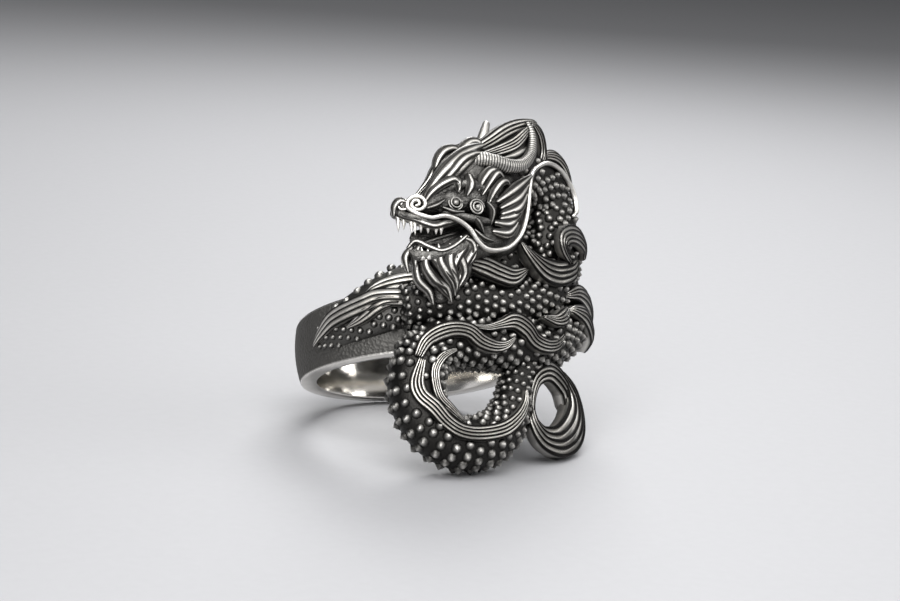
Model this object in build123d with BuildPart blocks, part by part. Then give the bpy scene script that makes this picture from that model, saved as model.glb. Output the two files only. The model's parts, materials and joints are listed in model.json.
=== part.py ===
from build123d import *
import math
import os

# Sizes in millimetres.
bore_diameter = 19.0  # inside of the band, a common adult size
band_wall = 1.95  # thickness of the shank at the back
band_width_back = 5.4  # width of the shank behind the finger
band_width_front = 6.6  # width of the band under the dragon
band_crown = 0.35  # how far the band's outer face swells past its edges
bore_relief = 0.3  # everything but the band keeps this clear of the bore
face_reach = 20.0  # sideways unit of the relief: axis to the farthest curl
crown_height = 20.0  # lengthwise unit: middle of the band to the horn tips
relief_height = 10.0  # outward unit: bore wall to past the brow
plate_radius = 28.0  # the relief lies on this flatter curve across the finger
normal_setback = 6.0  # outward directions fan from this far behind the axis
shoulder_rise = 1.0  # outward unit of the relief on the shoulders
body_diameter = 5.0  # the scaled body where it is thickest
head_depth = 5.0  # the head from its near to its far cheek
lock_width = 2.2  # a broad lock of the mane
strand_width = 0.8  # a thin lock: cheek, beard and brow
whisker_diameter = 0.5
horn_diameter = 1.6
tooth_length = 1.2
tooth_thickness = 0.53
tooth_root = 0.4  # how much of its length a tooth also runs into the lip
bead_diameter = 1.0  # spikes, nostril bulb, eye and cheek knob follow this
stud_height = 0.4  # how far the studs rise all over the body
stud_spacing = 1.0  # from one row of studs to the next along the body
studs_around = 16  # facets around the body: a stud on every other one
facet_length = 0.8  # sections along a form: this far apart,
facet_growth = 0.25  # and by this share of its size more
tip_share = 0.3  # how far a form's end comes out, as a share of its width

bore_radius = bore_diameter / 2
band_radius = bore_radius + band_wall
relief_radius = bore_radius + bore_relief

# Outlines of a form cut across: sideways, outward, both from -0.5 to 0.5.
round_section = [
    (0.5 * math.cos(math.radians(turn)), 0.5 * math.sin(math.radians(turn)))
    for turn in range(0, 360, 36)
]
strand_section = [
    (-0.50, 0.05),
    (-0.33, 0.42),
    (-0.17, 0.28),
    (0.00, 0.50),
    (0.17, 0.28),
    (0.33, 0.42),
    (0.50, 0.05),
    (0.00, -0.50),
]
blade_section = [(-0.5, -0.1), (-0.2, 0.4), (0.0, 0.5), (0.2, 0.4), (0.5, -0.1), (0.0, -0.5)]

# Columns: across (share of face_reach), along (share of crown_height),
# lift (share of relief_height above the bore wall), width and thick (shares
# of the size that the form is built with). One row for each section.
backing_rows = [
    (0.14, -0.24, 0.12, 1.60, 0.36),
    (0.14, -0.10, 0.12, 2.60, 0.50),
    (0.14, 0.10, 0.13, 3.00, 0.56),
    (0.15, 0.30, 0.14, 3.00, 0.60),
    (0.17, 0.48, 0.16, 2.60, 0.64),
    (0.20, 0.62, 0.20, 1.60, 0.56),
]
neck_rows = [
    (0.15, 0.66, 0.39, 1.10, 0.92),
    (0.32, 0.735, 0.35, 1.20, 0.92),
    (0.49, 0.68, 0.31, 1.44, 0.96),
    (0.55, 0.52, 0.30, 1.60, 0.96),
    (0.53, 0.36, 0.30, 1.60, 0.96),
    (0.43, 0.205, 0.30, 1.28, 0.96),
    (0.26, 0.10, 0.30, 1.00, 0.92),
    (0.00, 0.06, 0.31, 0.96, 0.92),
    (-0.23, 0.045, 0.29, 0.92, 0.88),
    (-0.42, 0.025, 0.24, 0.80, 0.72),
]
coil_rows = [
    (0.62, 0.05, -0.275, 0.70, 0.64),
    (0.72, 0.07, 0.05, 0.96, 0.90),
    (0.66, 0.07, 0.20, 1.00, 0.96),
    (0.52, -0.02, 0.25, 1.00, 0.96),
    (0.35, -0.10, 0.29, 1.00, 0.96),
    (0.13, -0.14, 0.30, 0.96, 0.96),
    (-0.10, -0.145, 0.30, 0.96, 0.96),
    (-0.28, -0.16, 0.30, 1.00, 0.96),
    (-0.395, -0.25, 0.30, 1.00, 0.94),
]
loop_rows = [
    (-0.33, -0.18, 0.30, 0.92, 0.90),
    (-0.41, -0.31, 0.30, 1.02, 0.95),
    (-0.42, -0.44, 0.31, 1.02, 0.96),
    (-0.36, -0.57, 0.31, 0.98, 0.96),
    (-0.24, -0.64, 0.32, 0.96, 0.96),
    (-0.10, -0.62, 0.33, 0.96, 0.92),
    (0.015, -0.545, 0.33, 0.84, 0.84),
    (0.08, -0.43, 0.33, 0.68, 0.70),
    (0.14, -0.31, 0.31, 0.60, 0.62),
    (0.22, -0.20, 0.29, 0.60, 0.60),
    (0.27, -0.12, 0.27, 0.56, 0.56),
]
skull_rows = [
    (0.16, 0.58, 0.41, 1.20, 0.88),
    (0.03, 0.60, 0.45, 1.64, 1.04),
    (-0.085, 0.595, 0.48, 1.66, 1.08),
    (-0.19, 0.56, 0.50, 1.26, 0.96),
    (-0.285, 0.515, 0.51, 0.86, 0.80),
    (-0.375, 0.475, 0.52, 0.56, 0.66),
    (-0.45, 0.46, 0.52, 0.38, 0.50),
    (-0.485, 0.455, 0.52, 0.20, 0.28),
]
jaw_rows = [
    (0.10, 0.41, 0.41, 0.90, 0.80),
    (-0.04, 0.35, 0.47, 0.84, 0.88),
    (-0.16, 0.295, 0.51, 0.66, 0.84),
    (-0.27, 0.25, 0.54, 0.48, 0.76),
    (-0.375, 0.22, 0.55, 0.32, 0.64),
    (-0.45, 0.22, 0.56, 0.24, 0.50),
    (-0.475, 0.25, 0.56, 0.14, 0.30),
]
mouth_rows = [
    (-0.40, 0.310, 0.46, 0.50, 0.14),
    (-0.30, 0.330, 0.46, 0.64, 0.22),
    (-0.18, 0.375, 0.45, 0.70, 0.34),
    (-0.05, 0.420, 0.44, 0.80, 0.50),
]
beard_rows = [
    (-0.18, 0.28, 0.46, 0.70, 0.60),
    (-0.27, 0.19, 0.50, 0.90, 0.56),
    (-0.32, 0.12, 0.50, 0.70, 0.50),
    (-0.32, 0.04, 0.46, 0.36, 0.40),
]
tail_arch_rows = [
    (0.175, -0.54, 0.36, 0.60, 0.60),
    (0.17, -0.42, 0.37, 0.65, 0.65),
    (0.22, -0.305, 0.37, 0.85, 0.75),
    (0.33, -0.255, 0.36, 1.10, 0.80),
    (0.44, -0.31, 0.34, 1.25, 0.80),
    (0.475, -0.39, 0.33, 1.30, 0.75),
]
tail_bowl_rows = [
    (0.455, -0.25, 0.34, 0.50, 0.60),
    (0.51, -0.345, 0.34, 1.50, 0.80),
    (0.505, -0.45, 0.35, 2.10, 0.90),
    (0.445, -0.54, 0.36, 1.95, 0.95),
    (0.345, -0.60, 0.37, 1.60, 0.90),
    (0.235, -0.595, 0.375, 1.20, 0.85),
    (0.18, -0.53, 0.37, 0.75, 0.75),
    (0.17, -0.45, 0.37, 0.50, 0.60),
]
near_horn_rows = [
    (-0.19, 0.695, 0.60, 1.00, 1.00),
    (-0.13, 0.705, 0.67, 1.15, 1.15),
    (-0.04, 0.695, 0.72, 1.05, 1.05),
    (0.04, 0.685, 0.74, 0.92, 0.92),
    (0.125, 0.705, 0.74, 0.80, 0.80),
    (0.195, 0.765, 0.73, 0.70, 0.70),
    (0.225, 0.835, 0.72, 0.60, 0.60),
    (0.23, 0.90, 0.71, 0.48, 0.48),
    (0.22, 0.94, 0.69, 0.30, 0.30),
]
far_horn_rows = [
    (0.02, 0.78, 0.31, 1.00, 1.00),
    (0.05, 0.875, 0.35, 0.74, 0.74),
    (0.075, 0.935, 0.35, 0.58, 0.58),
    (0.095, 0.975, 0.34, 0.46, 0.46),
]
# Whisker from the nostril's volute, under the cheek and round the neck.
whisker_rows = [
    (-0.460, 0.460, 0.68, 0.6, 0.9),
    (-0.445, 0.466, 0.69, 0.7, 0.9),
    (-0.449, 0.484, 0.69, 0.8, 0.9),
    (-0.467, 0.484, 0.68, 0.8, 1.0),
    (-0.476, 0.462, 0.67, 0.9, 1.0),
    (-0.460, 0.441, 0.68, 0.9, 1.1),
    (-0.433, 0.444, 0.69, 0.9, 1.1),
    (-0.420, 0.469, 0.70, 0.9, 1.1),
    (-0.433, 0.496, 0.70, 0.9, 1.1),
    (-0.461, 0.505, 0.68, 0.9, 1.1),
    (-0.488, 0.487, 0.66, 0.9, 1.1),
    (-0.492, 0.453, 0.66, 1.0, 1.2),
    (-0.469, 0.424, 0.69, 1.0, 1.2),
    (-0.436, 0.404, 0.72, 1.0, 1.2),
    (-0.40, 0.395, 0.73, 1.0, 1.3),
    (-0.34, 0.405, 0.74, 1.0, 1.4),
    (-0.275, 0.385, 0.74, 1.0, 1.4),
    (-0.22, 0.345, 0.74, 1.0, 1.4),
    (-0.185, 0.295, 0.73, 1.0, 1.4),
    (-0.14, 0.26, 0.72, 1.0, 1.6),
    (-0.08, 0.255, 0.72, 1.0, 1.8),
    (0.00, 0.28, 0.72, 1.0, 1.8),
    (0.07, 0.34, 0.72, 1.0, 1.8),
    (0.115, 0.415, 0.72, 1.0, 1.8),
    (0.145, 0.505, 0.72, 1.0, 1.8),
    (0.17, 0.59, 0.71, 1.0, 1.8),
    (0.21, 0.67, 0.68, 1.0, 1.6),
    (0.28, 0.73, 0.60, 1.0, 1.6),
    (0.36, 0.775, 0.55, 1.0, 1.6),
    (0.44, 0.79, 0.53, 1.0, 1.6),
    (0.52, 0.775, 0.52, 1.0, 1.6),
    (0.59, 0.725, 0.525, 1.0, 1.4),
    (0.63, 0.66, 0.53, 1.0, 1.4),
    (0.63, 0.59, 0.55, 0.9, 1.2),
    (0.585, 0.555, 0.565, 0.7, 1.0),
]
# Broad locks, sized by lock_width.
lock_tables = [
    [  # wave over the body, right
        (-0.20, -0.10, 0.55, 0.15, 0.40),
        (-0.115, -0.105, 0.55, 0.30, 0.50),
        (-0.035, -0.085, 0.56, 0.50, 0.60),
        (0.045, -0.065, 0.56, 0.90, 0.60),
        (0.115, -0.095, 0.56, 1.00, 0.60),
        (0.17, -0.145, 0.55, 0.90, 0.60),
        (0.25, -0.16, 0.54, 0.75, 0.60),
        (0.335, -0.14, 0.52, 0.60, 0.60),
        (0.42, -0.08, 0.48, 0.30, 0.60),
    ],
    [  # wave over the body, left, down to the big loop
        (-0.455, -0.24, 0.50, 0.45, 0.60),
        (-0.425, -0.18, 0.53, 0.65, 0.60),
        (-0.365, -0.14, 0.54, 0.80, 0.60),
        (-0.29, -0.12, 0.55, 0.80, 0.60),
        (-0.215, -0.13, 0.55, 0.80, 0.60),
        (-0.155, -0.175, 0.55, 0.80, 0.60),
        (-0.085, -0.195, 0.55, 0.65, 0.60),
        (-0.02, -0.185, 0.55, 0.40, 0.60),
        (0.04, -0.145, 0.55, 0.15, 0.50),
    ],
    [  # outer lock round the big loop
        (-0.45, -0.27, 0.52, 0.40, 0.60),
        (-0.48, -0.37, 0.52, 0.75, 0.60),
        (-0.47, -0.435, 0.53, 0.80, 0.60),
        (-0.42, -0.495, 0.55, 0.80, 0.60),
        (-0.365, -0.565, 0.55, 0.75, 0.60),
        (-0.30, -0.61, 0.56, 0.75, 0.60),
        (-0.205, -0.62, 0.57, 0.75, 0.60),
        (-0.085, -0.595, 0.57, 0.75, 0.60),
        (0.01, -0.535, 0.55, 0.60, 0.60),
        (0.075, -0.46, 0.52, 0.40, 0.60),
        (0.095, -0.39, 0.51, 0.15, 0.50),
    ],
    [  # inner lock round the big loop's hole
        (-0.28, -0.215, 0.52, 0.15, 0.40),
        (-0.35, -0.25, 0.53, 0.40, 0.50),
        (-0.39, -0.305, 0.53, 0.45, 0.50),
        (-0.40, -0.37, 0.54, 0.45, 0.50),
        (-0.385, -0.445, 0.54, 0.45, 0.50),
        (-0.335, -0.505, 0.54, 0.40, 0.50),
        (-0.27, -0.57, 0.54, 0.15, 0.40),
    ],
    [  # wave under the jaw
        (-0.18, 0.215, 0.50, 0.60, 0.80),
        (-0.10, 0.20, 0.52, 1.05, 0.80),
        (-0.02, 0.17, 0.54, 1.05, 0.80),
        (0.07, 0.16, 0.53, 0.90, 0.80),
        (0.18, 0.215, 0.50, 0.20, 0.60),
    ],
    [  # wave under the neck
        (0.145, 0.335, 0.54, 0.20, 0.60),
        (0.20, 0.27, 0.55, 0.70, 0.80),
        (0.28, 0.225, 0.54, 1.20, 0.90),
        (0.37, 0.22, 0.53, 1.30, 0.90),
        (0.44, 0.235, 0.54, 1.20, 0.90),
        (0.51, 0.265, 0.55, 0.95, 0.80),
        (0.56, 0.31, 0.54, 0.45, 0.70),
    ],
    [  # its breaking crest
        (0.565, 0.30, 0.55, 0.20, 0.60),
        (0.54, 0.345, 0.57, 0.65, 0.75),
        (0.53, 0.40, 0.575, 1.00, 0.85),
        (0.565, 0.44, 0.57, 1.15, 0.90),
        (0.62, 0.445, 0.555, 1.05, 0.90),
        (0.665, 0.42, 0.52, 0.85, 0.90),
        (0.675, 0.375, 0.485, 0.45, 0.80),
    ],
    [  # mane over the crown, upper
        (-0.12, 0.755, 0.53, 0.40, 0.80),
        (-0.02, 0.81, 0.56, 0.75, 1.20),
        (0.08, 0.875, 0.57, 0.90, 1.30),
        (0.17, 0.92, 0.58, 0.80, 1.20),
        (0.27, 0.96, 0.60, 0.40, 0.80),
        (0.31, 0.965, 0.60, 0.20, 0.50),
    ],
    [  # mane over the crown, lower
        (-0.09, 0.735, 0.62, 0.30, 0.60),
        (0.02, 0.775, 0.64, 0.55, 0.80),
        (0.11, 0.82, 0.65, 0.65, 0.80),
        (0.18, 0.88, 0.66, 0.50, 0.70),
        (0.25, 0.94, 0.65, 0.20, 0.50),
    ],
    [  # mane falling behind the horn
        (0.29, 0.965, 0.60, 0.30, 0.50),
        (0.35, 0.93, 0.56, 0.60, 0.60),
        (0.385, 0.875, 0.52, 0.65, 0.60),
        (0.385, 0.815, 0.49, 0.60, 0.60),
        (0.345, 0.77, 0.48, 0.30, 0.50),
    ],
    [  # crest along the forehead
        (-0.41, 0.515, 0.51, 0.30, 0.60),
        (-0.345, 0.59, 0.54, 0.50, 0.90),
        (-0.29, 0.675, 0.54, 0.60, 1.00),
        (-0.225, 0.74, 0.53, 0.60, 1.00),
        (-0.15, 0.775, 0.53, 0.60, 1.00),
        (-0.07, 0.815, 0.53, 0.50, 0.90),
    ],
    [  # tuft where the body turns, upper
        (0.49, 0.14, 0.49, 0.40, 0.70),
        (0.58, 0.165, 0.47, 0.90, 1.00),
        (0.685, 0.15, 0.40, 1.10, 1.20),
        (0.765, 0.10, 0.30, 1.00, 1.20),
        (0.78, 0.03, 0.20, 0.50, 0.90),
    ],
    [  # tuft where the body turns, lower
        (0.51, 0.065, 0.52, 0.50, 0.70),
        (0.61, 0.055, 0.49, 1.00, 0.90),
        (0.705, 0.00, 0.40, 1.00, 1.00),
        (0.74, -0.05, 0.28, 0.50, 0.80),
    ],
    [  # spike over the tuft
        (0.60, 0.20, 0.44, 0.30, 0.60),
        (0.70, 0.205, 0.39, 0.60, 0.90),
        (0.785, 0.16, 0.31, 0.55, 0.90),
        (0.815, 0.10, 0.25, 0.20, 0.60),
    ],
    [  # fin along the top of the neck
        (0.40, 0.80, 0.42, 0.40, 0.70),
        (0.48, 0.80, 0.40, 0.70, 0.90),
        (0.56, 0.765, 0.38, 0.70, 0.90),
        (0.63, 0.70, 0.36, 0.30, 0.70),
    ],
    [  # leaf-shaped tip
        (0.245, -0.02, 0.56, 0.15, 0.60),
        (0.31, -0.03, 0.58, 0.55, 0.80),
        (0.37, -0.005, 0.575, 0.80, 0.90),
        (0.42, 0.045, 0.55, 0.30, 0.80),
    ],
]
# Thin locks, sized by strand_width.
strand_tables = [
    [(-0.04, 0.505, 0.71, 0.82, 0.8), (0.065, 0.575, 0.74, 1.62, 1.0), (0.195, 0.665, 0.71, 0.49, 0.6)],
    [(-0.02, 0.475, 0.71, 0.82, 0.8), (0.075, 0.53, 0.74, 1.62, 1.0), (0.16, 0.61, 0.72, 0.49, 0.6)],
    [(-0.015, 0.445, 0.71, 0.82, 0.8), (0.07, 0.48, 0.74, 1.62, 1.0), (0.145, 0.56, 0.72, 0.49, 0.6)],
    [(-0.025, 0.42, 0.71, 0.82, 0.8), (0.045, 0.44, 0.73, 1.46, 1.0), (0.105, 0.495, 0.72, 0.49, 0.6)],
    [(-0.06, 0.395, 0.7, 0.82, 0.8), (0.015, 0.395, 0.72, 1.46, 1.0), (0.09, 0.455, 0.71, 0.49, 0.6)],
    [(-0.075, 0.35, 0.7, 0.82, 0.8), (0.00, 0.35, 0.72, 1.46, 1.0), (0.07, 0.41, 0.71, 0.49, 0.6)],
    [(-0.27, 0.60, 0.71, 1.02, 0.9), (-0.265, 0.57, 0.74, 1.53, 1.2), (-0.255, 0.53, 0.72, 0.51, 0.7)],
    [(-0.20, 0.61, 0.73, 1.02, 0.9), (-0.205, 0.56, 0.76, 1.53, 1.2), (-0.22, 0.515, 0.74, 0.51, 0.7)],
    [
        (-0.135, 0.525, 0.74, 0.52, 0.7),
        (-0.095, 0.595, 0.78, 1.17, 1.2),
        (-0.055, 0.63, 0.78, 1.17, 1.2),
        (-0.01, 0.615, 0.75, 0.39, 0.7),
    ],
    [
        (-0.42, 0.48, 0.63, 0.6, 1.0),
        (-0.345, 0.54, 0.68, 1.08, 1.4),
        (-0.29, 0.59, 0.70, 1.2, 1.6),
        (-0.24, 0.635, 0.70, 1.2, 1.6),
        (-0.145, 0.72, 0.70, 1.08, 1.4),
    ],
    [
        (-0.515, 0.425, 0.59, 0.9, 1.3),
        (-0.49, 0.41, 0.61, 1.0, 1.4),
        (-0.455, 0.39, 0.65, 0.9, 1.4),
        (-0.42, 0.37, 0.67, 1.0, 1.4),
        (-0.38, 0.36, 0.68, 1.0, 1.4),
        (-0.33, 0.375, 0.68, 1.08, 1.4),
        (-0.27, 0.39, 0.68, 0.72, 1.2),
    ],
    [
        (-0.45, 0.275, 0.49, 0.8, 1.2),
        (-0.38, 0.30, 0.49, 1.0, 1.4),
        (-0.28, 0.335, 0.49, 1.0, 1.4),
        (-0.18, 0.37, 0.49, 0.8, 1.2),
    ],
    [(-0.465, 0.27, 0.58, 0.72, 1.0), (-0.50, 0.22, 0.58, 1.08, 1.2), (-0.49, 0.15, 0.57, 0.36, 0.6)],
    [(-0.44, 0.275, 0.61, 0.72, 1.0), (-0.465, 0.22, 0.61, 1.08, 1.2), (-0.46, 0.15, 0.59, 0.36, 0.6)],
    [
        (-0.46, 0.205, 0.60, 0.72, 1.0),
        (-0.45, 0.115, 0.58, 1.2, 1.0),
        (-0.40, 0.055, 0.57, 1.08, 1.0),
        (-0.38, 0.00, 0.55, 0.36, 0.6),
    ],
    [
        (-0.44, 0.19, 0.62, 0.72, 1.0),
        (-0.39, 0.11, 0.62, 1.56, 1.2),
        (-0.325, 0.07, 0.61, 1.2, 1.0),
        (-0.30, 0.01, 0.58, 0.36, 0.6),
    ],
    [
        (-0.40, 0.21, 0.65, 0.72, 1.0),
        (-0.34, 0.155, 0.65, 1.68, 1.3),
        (-0.29, 0.10, 0.64, 1.2, 1.2),
        (-0.285, 0.04, 0.60, 0.36, 0.6),
    ],
    [
        (-0.31, 0.275, 0.66, 0.72, 1.0),
        (-0.265, 0.215, 0.66, 1.56, 1.3),
        (-0.24, 0.145, 0.64, 1.2, 1.2),
        (-0.26, 0.08, 0.60, 0.36, 0.6),
    ],
    [
        (-0.26, 0.31, 0.69, 0.48, 0.8),
        (-0.205, 0.285, 0.70, 0.96, 1.0),
        (-0.195, 0.225, 0.68, 0.96, 1.0),
        (-0.235, 0.16, 0.64, 0.36, 0.6),
    ],
]
# Teeth: across, along and lift of the root, then which way they point.
teeth_rows = [
    (-0.52, 0.405, 0.59, -1.0),
    (-0.50, 0.40, 0.61, -0.8),
    (-0.475, 0.39, 0.64, -1.0),
    (-0.462, 0.39, 0.65, -1.2),
    (-0.44, 0.37, 0.67, -0.7),
    (-0.41, 0.36, 0.68, -0.6),
    (-0.375, 0.355, 0.69, -0.6),
    (-0.35, 0.355, 0.69, -0.6),
    (-0.445, 0.215, 0.67, 0.9),
    (-0.42, 0.215, 0.68, 0.8),
    (-0.39, 0.225, 0.68, 0.8),
    (-0.365, 0.24, 0.68, 0.7),
]
# Bulbs: across, along, lift, diameter as a share of bead_diameter.
bulb_rows = [
    (-0.49, 0.470, 0.57, 1.6),
    (-0.505, 0.440, 0.56, 1.3),
    (-0.268, 0.48, 0.69, 0.9),
    (-0.165, 0.46, 0.70, 1.4),
]
# Shoulder relief. Columns: turn (degrees from the front), along (share of
# crown_height), rise (share of shoulder_rise above the band), width and thick.
shoulder_panel_rows = [
    (12, 0.13, 0.5, 1.20, 0.60),
    (26, 0.13, 0.4, 1.20, 0.60),
    (40, 0.10, 0.2, 1.15, 0.56),
    (54, 0.065, 0.0, 1.05, 0.48),
    (68, 0.03, -0.2, 0.88, 0.42),
    (80, -0.005, -0.4, 0.66, 0.34),
    (90, -0.04, -0.7, 0.36, 0.22),
]
shoulder_lock_rows = [
    (27, 0.10, 1.6, 1.20, 0.73),
    (35, 0.125, 1.5, 1.58, 0.73),
    (41, 0.13, 1.4, 1.35, 0.73),
    (47, 0.125, 1.3, 0.98, 0.68),
    (53, 0.085, 1.15, 0.83, 0.63),
    (60, 0.06, 0.95, 1.13, 0.58),
    (67, 0.035, 0.7, 0.90, 0.53),
    (74, -0.01, 0.4, 0.75, 0.47),
    (80, -0.08, -0.1, 0.30, 0.37),
]
shoulder_spike_rows = [
    (36, 0.245, 0.55, 1.20, 1.0),
    (43, 0.215, 0.45, 1.10, 1.0),
    (51, 0.18, 0.35, 1.05, 1.0),
    (59, 0.145, 0.25, 1.00, 1.0),
    (67, 0.11, 0.1, 0.90, 1.0),
    (76, 0.065, -0.1, 0.75, 1.0),
    (85, 0.01, -0.3, 0.60, 1.0),
]


def face_point(across, along, lift):
    """Point of the relief: lies on the flatter curve across the finger."""
    x = across * face_reach
    return Vector(x, x * x / (2 * plate_radius) - bore_radius - lift * relief_height, along * crown_height)


def shoulder_point(turn, along, rise):
    """Point over the shank, turned from the front about the finger's axis."""
    radius = band_radius + rise * shoulder_rise
    angle = math.radians(turn)
    return Vector(radius * math.sin(angle), -radius * math.cos(angle), along * crown_height)


def outward(point, setback):
    """Direction away from the finger, fanned from a point behind its axis."""
    return Vector(point.X, point.Y - setback, 0).normalized()


def between(rows, place):
    """Values at a place between rows, on a smooth curve through them."""
    k = min(int(place), len(rows) - 2)
    t = place - k
    near = (rows[max(k - 1, 0)], rows[k], rows[k + 1], rows[min(k + 2, len(rows) - 1)])
    return [
        b + (c - a + (2 * a - 5 * b + 4 * c - d + (3 * b - a - 3 * c + d) * t) * t) * t / 2
        for a, b, c, d in zip(*near)
    ]


def skin(rings, first_tip, last_tip, studded=False):
    """Closed faceted solid through rings of points, ended by two tips.

    On a studded skin each facet's slant joins two of the low points.
    """
    count = len(rings[0])
    triangles = []
    for k, (ring, following) in enumerate(zip(rings, rings[1:])):
        for i in range(count):
            j = (i + 1) % count
            if studded and (i + k) % 2 == 0:
                triangles.append((ring[i], following[i], ring[j]))
                triangles.append((following[i], following[j], ring[j]))
            else:
                triangles.append((ring[i], following[i], following[j]))
                triangles.append((ring[i], following[j], ring[j]))
    for i in range(count):
        j = (i + 1) % count
        triangles.append((first_tip, rings[0][i], rings[0][j]))
        triangles.append((last_tip, rings[-1][j], rings[-1][i]))
    faces = [Face(Wire.make_polygon(corners, close=True)) for corners in triangles]
    return Solid(Shell(faces))


def frames(rows, spacing, point_at=face_point, setback=normal_setback):
    """Point, sideways and outward directions, width and thickness by steps."""
    places = [0.0]
    for k in range(len(rows) - 1):
        span = (point_at(*rows[k + 1][:3]) - point_at(*rows[k][:3])).length
        steps = max(1, round(span / spacing))
        places += [k + (step + 1) / steps for step in range(steps)]
    stations = [between(rows, place) for place in places]
    points = [point_at(*station[:3]) for station in stations]
    last = len(points) - 1
    result = []
    for k, station in enumerate(stations):
        ahead = (points[min(k + 1, last)] - points[max(k - 1, 0)]).normalized()
        side = ahead.cross(outward(points[k], setback)).normalized()
        result.append((points[k], side, side.cross(ahead).normalized(), station[3], station[4]))
    return result


def form(rows, size, section, point_at=face_point, setback=normal_setback):
    """Form that follows a table's rows, with its section turned outward."""
    steps = frames(rows, facet_length + facet_growth * size, point_at, setback)
    rings = [
        [point + side * (u * size * width) + out * (v * size * thick) for u, v in section]
        for point, side, out, width, thick in steps
    ]
    first, second, before_last, last = steps[0][0], steps[1][0], steps[-2][0], steps[-1][0]
    back_tip = first + (first - second).normalized() * (tip_share * size * rows[0][3])
    front_tip = last + (last - before_last).normalized() * (tip_share * size * rows[-1][3])
    return skin(rings, back_tip, front_tip)


def studded_form(rows, size):
    """Round form whose whole skin is raised into staggered pointed studs."""
    steps = frames(rows, stud_spacing)
    rings = []
    for k, (point, side, out, width, thick) in enumerate(steps):
        ring = []
        for i in range(studs_around):
            angle = 2 * math.pi * i / studs_around
            raised = stud_height if (i + k) % 2 == 0 else 0
            across = (size * width / 2 + raised) * math.cos(angle)
            upward = (size * thick / 2 + raised) * math.sin(angle)
            ring.append(point + side * across + out * upward)
        rings.append(ring)
    return skin(rings, steps[0][0], steps[-1][0], studded=True)


def tooth(across, along, lift, pointing):
    """Cone of six facets, pointing along the finger."""
    root = face_point(across, along, lift)
    radius = tooth_thickness / 2
    ring = [
        root + Vector(radius * math.cos(math.radians(turn)), radius * math.sin(math.radians(turn)), 0)
        for turn in range(0, 360, 60)
    ]
    sunk = root - Vector(0, 0, tooth_root * pointing * tooth_length)
    point = root + Vector(0, 0, pointing * tooth_length)
    if pointing > 0:
        return skin([ring], sunk, point)
    return skin([ring], point, sunk)


def bulb(point, diameter):
    """Round bead: eight facets around, its rings at these shares of its radius."""
    rings = []
    for rise in (-0.6, 0.0, 0.6):
        around = diameter / 2 * math.sqrt(1 - rise * rise)
        rings.append(
            [
                point
                + Vector(
                    around * math.cos(math.radians(turn)),
                    around * math.sin(math.radians(turn)),
                    diameter / 2 * rise,
                )
                for turn in range(0, 360, 45)
            ]
        )
    pole = Vector(0, 0, diameter / 2)
    return skin(rings, point - pole, point + pole)


def half_width(y):
    """Half of the band's width, which narrows evenly from front to back."""
    share = (y + band_radius) / (2 * band_radius)
    return (band_width_front + (band_width_back - band_width_front) * share) / 2


def mirrored(rows):
    """The other shoulder: the same rows with their turn reversed."""
    return [(-row[0],) + row[1:] for row in rows]


def lowest(points, up):
    """Point of a foot that lies deepest against an upward direction."""
    return min(points, key=lambda point: point.dot(up))


# The shank: a crowned ring, straight inside, cut to its tapering width.
rim_radius = band_radius - band_crown
front_edge = half_width(-band_radius)
with BuildPart() as band:
    with BuildSketch(Plane.XZ):
        with BuildLine():
            Polyline(
                (rim_radius, front_edge),
                (bore_radius, front_edge),
                (bore_radius, -front_edge),
                (rim_radius, -front_edge),
            )
            ThreePointArc((rim_radius, -front_edge), (band_radius, 0), (rim_radius, front_edge))
        make_face()
    revolve(axis=Axis.Z)
    with BuildSketch(Plane.YZ):
        with BuildLine():
            Polyline(
                (-band_radius, -half_width(-band_radius)),
                (band_radius, -half_width(band_radius)),
                (band_radius, half_width(band_radius)),
                (-band_radius, half_width(-band_radius)),
                close=True,
            )
        make_face()
    extrude(amount=band_radius + band_wall, both=True, mode=Mode.INTERSECT)

loop_form = studded_form(loop_rows, body_diameter)
tail_forms = [form(rows, lock_width, strand_section) for rows in (tail_arch_rows, tail_bowl_rows)]
body_forms = [studded_form(rows, body_diameter) for rows in (neck_rows, coil_rows)]
backing_form = form(backing_rows, body_diameter, round_section)
head_forms = [
    form(rows, head_depth, round_section) for rows in (skull_rows, jaw_rows, mouth_rows, beard_rows)
]
horn_forms = [form(rows, horn_diameter, round_section) for rows in (near_horn_rows, far_horn_rows)]
whisker_form = form(whisker_rows, whisker_diameter, blade_section)
lock_forms = [form(rows, lock_width, strand_section) for rows in lock_tables]
strand_forms = [form(rows, strand_width, blade_section) for rows in strand_tables]
teeth = [tooth(*row) for row in teeth_rows]
bulbs = [bulb(face_point(*row[:3]), row[3] * bead_diameter) for row in bulb_rows]
shoulder_forms = []
for side_rows in (
    (mirrored(shoulder_panel_rows), mirrored(shoulder_lock_rows), mirrored(shoulder_spike_rows)),
    (shoulder_panel_rows, shoulder_lock_rows, shoulder_spike_rows),
):
    panel, lock, spikes = side_rows
    shoulder_forms.append(form(panel, body_diameter, round_section, shoulder_point, 0))
    shoulder_forms.append(form(lock, lock_width, strand_section, shoulder_point, 0))
    for row in spikes:
        shoulder_forms.append(bulb(shoulder_point(*row[:3]), row[3] * bead_diameter))

# Everything cast on the band, kept clear of the finger.
with BuildPart() as relief:
    add(
        [loop_form, whisker_form, backing_form]
        + tail_forms
        + body_forms
        + head_forms
        + horn_forms
        + lock_forms
        + strand_forms
        + teeth
        + bulbs
        + shoulder_forms,
        clean=False,
    )
    with BuildSketch(Plane.XY):
        Circle(relief_radius)
    extrude(amount=2 * crown_height, both=True, mode=Mode.SUBTRACT, clean=False)

with BuildPart() as casting:
    add([band.part, relief.part], clean=False)

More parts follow.
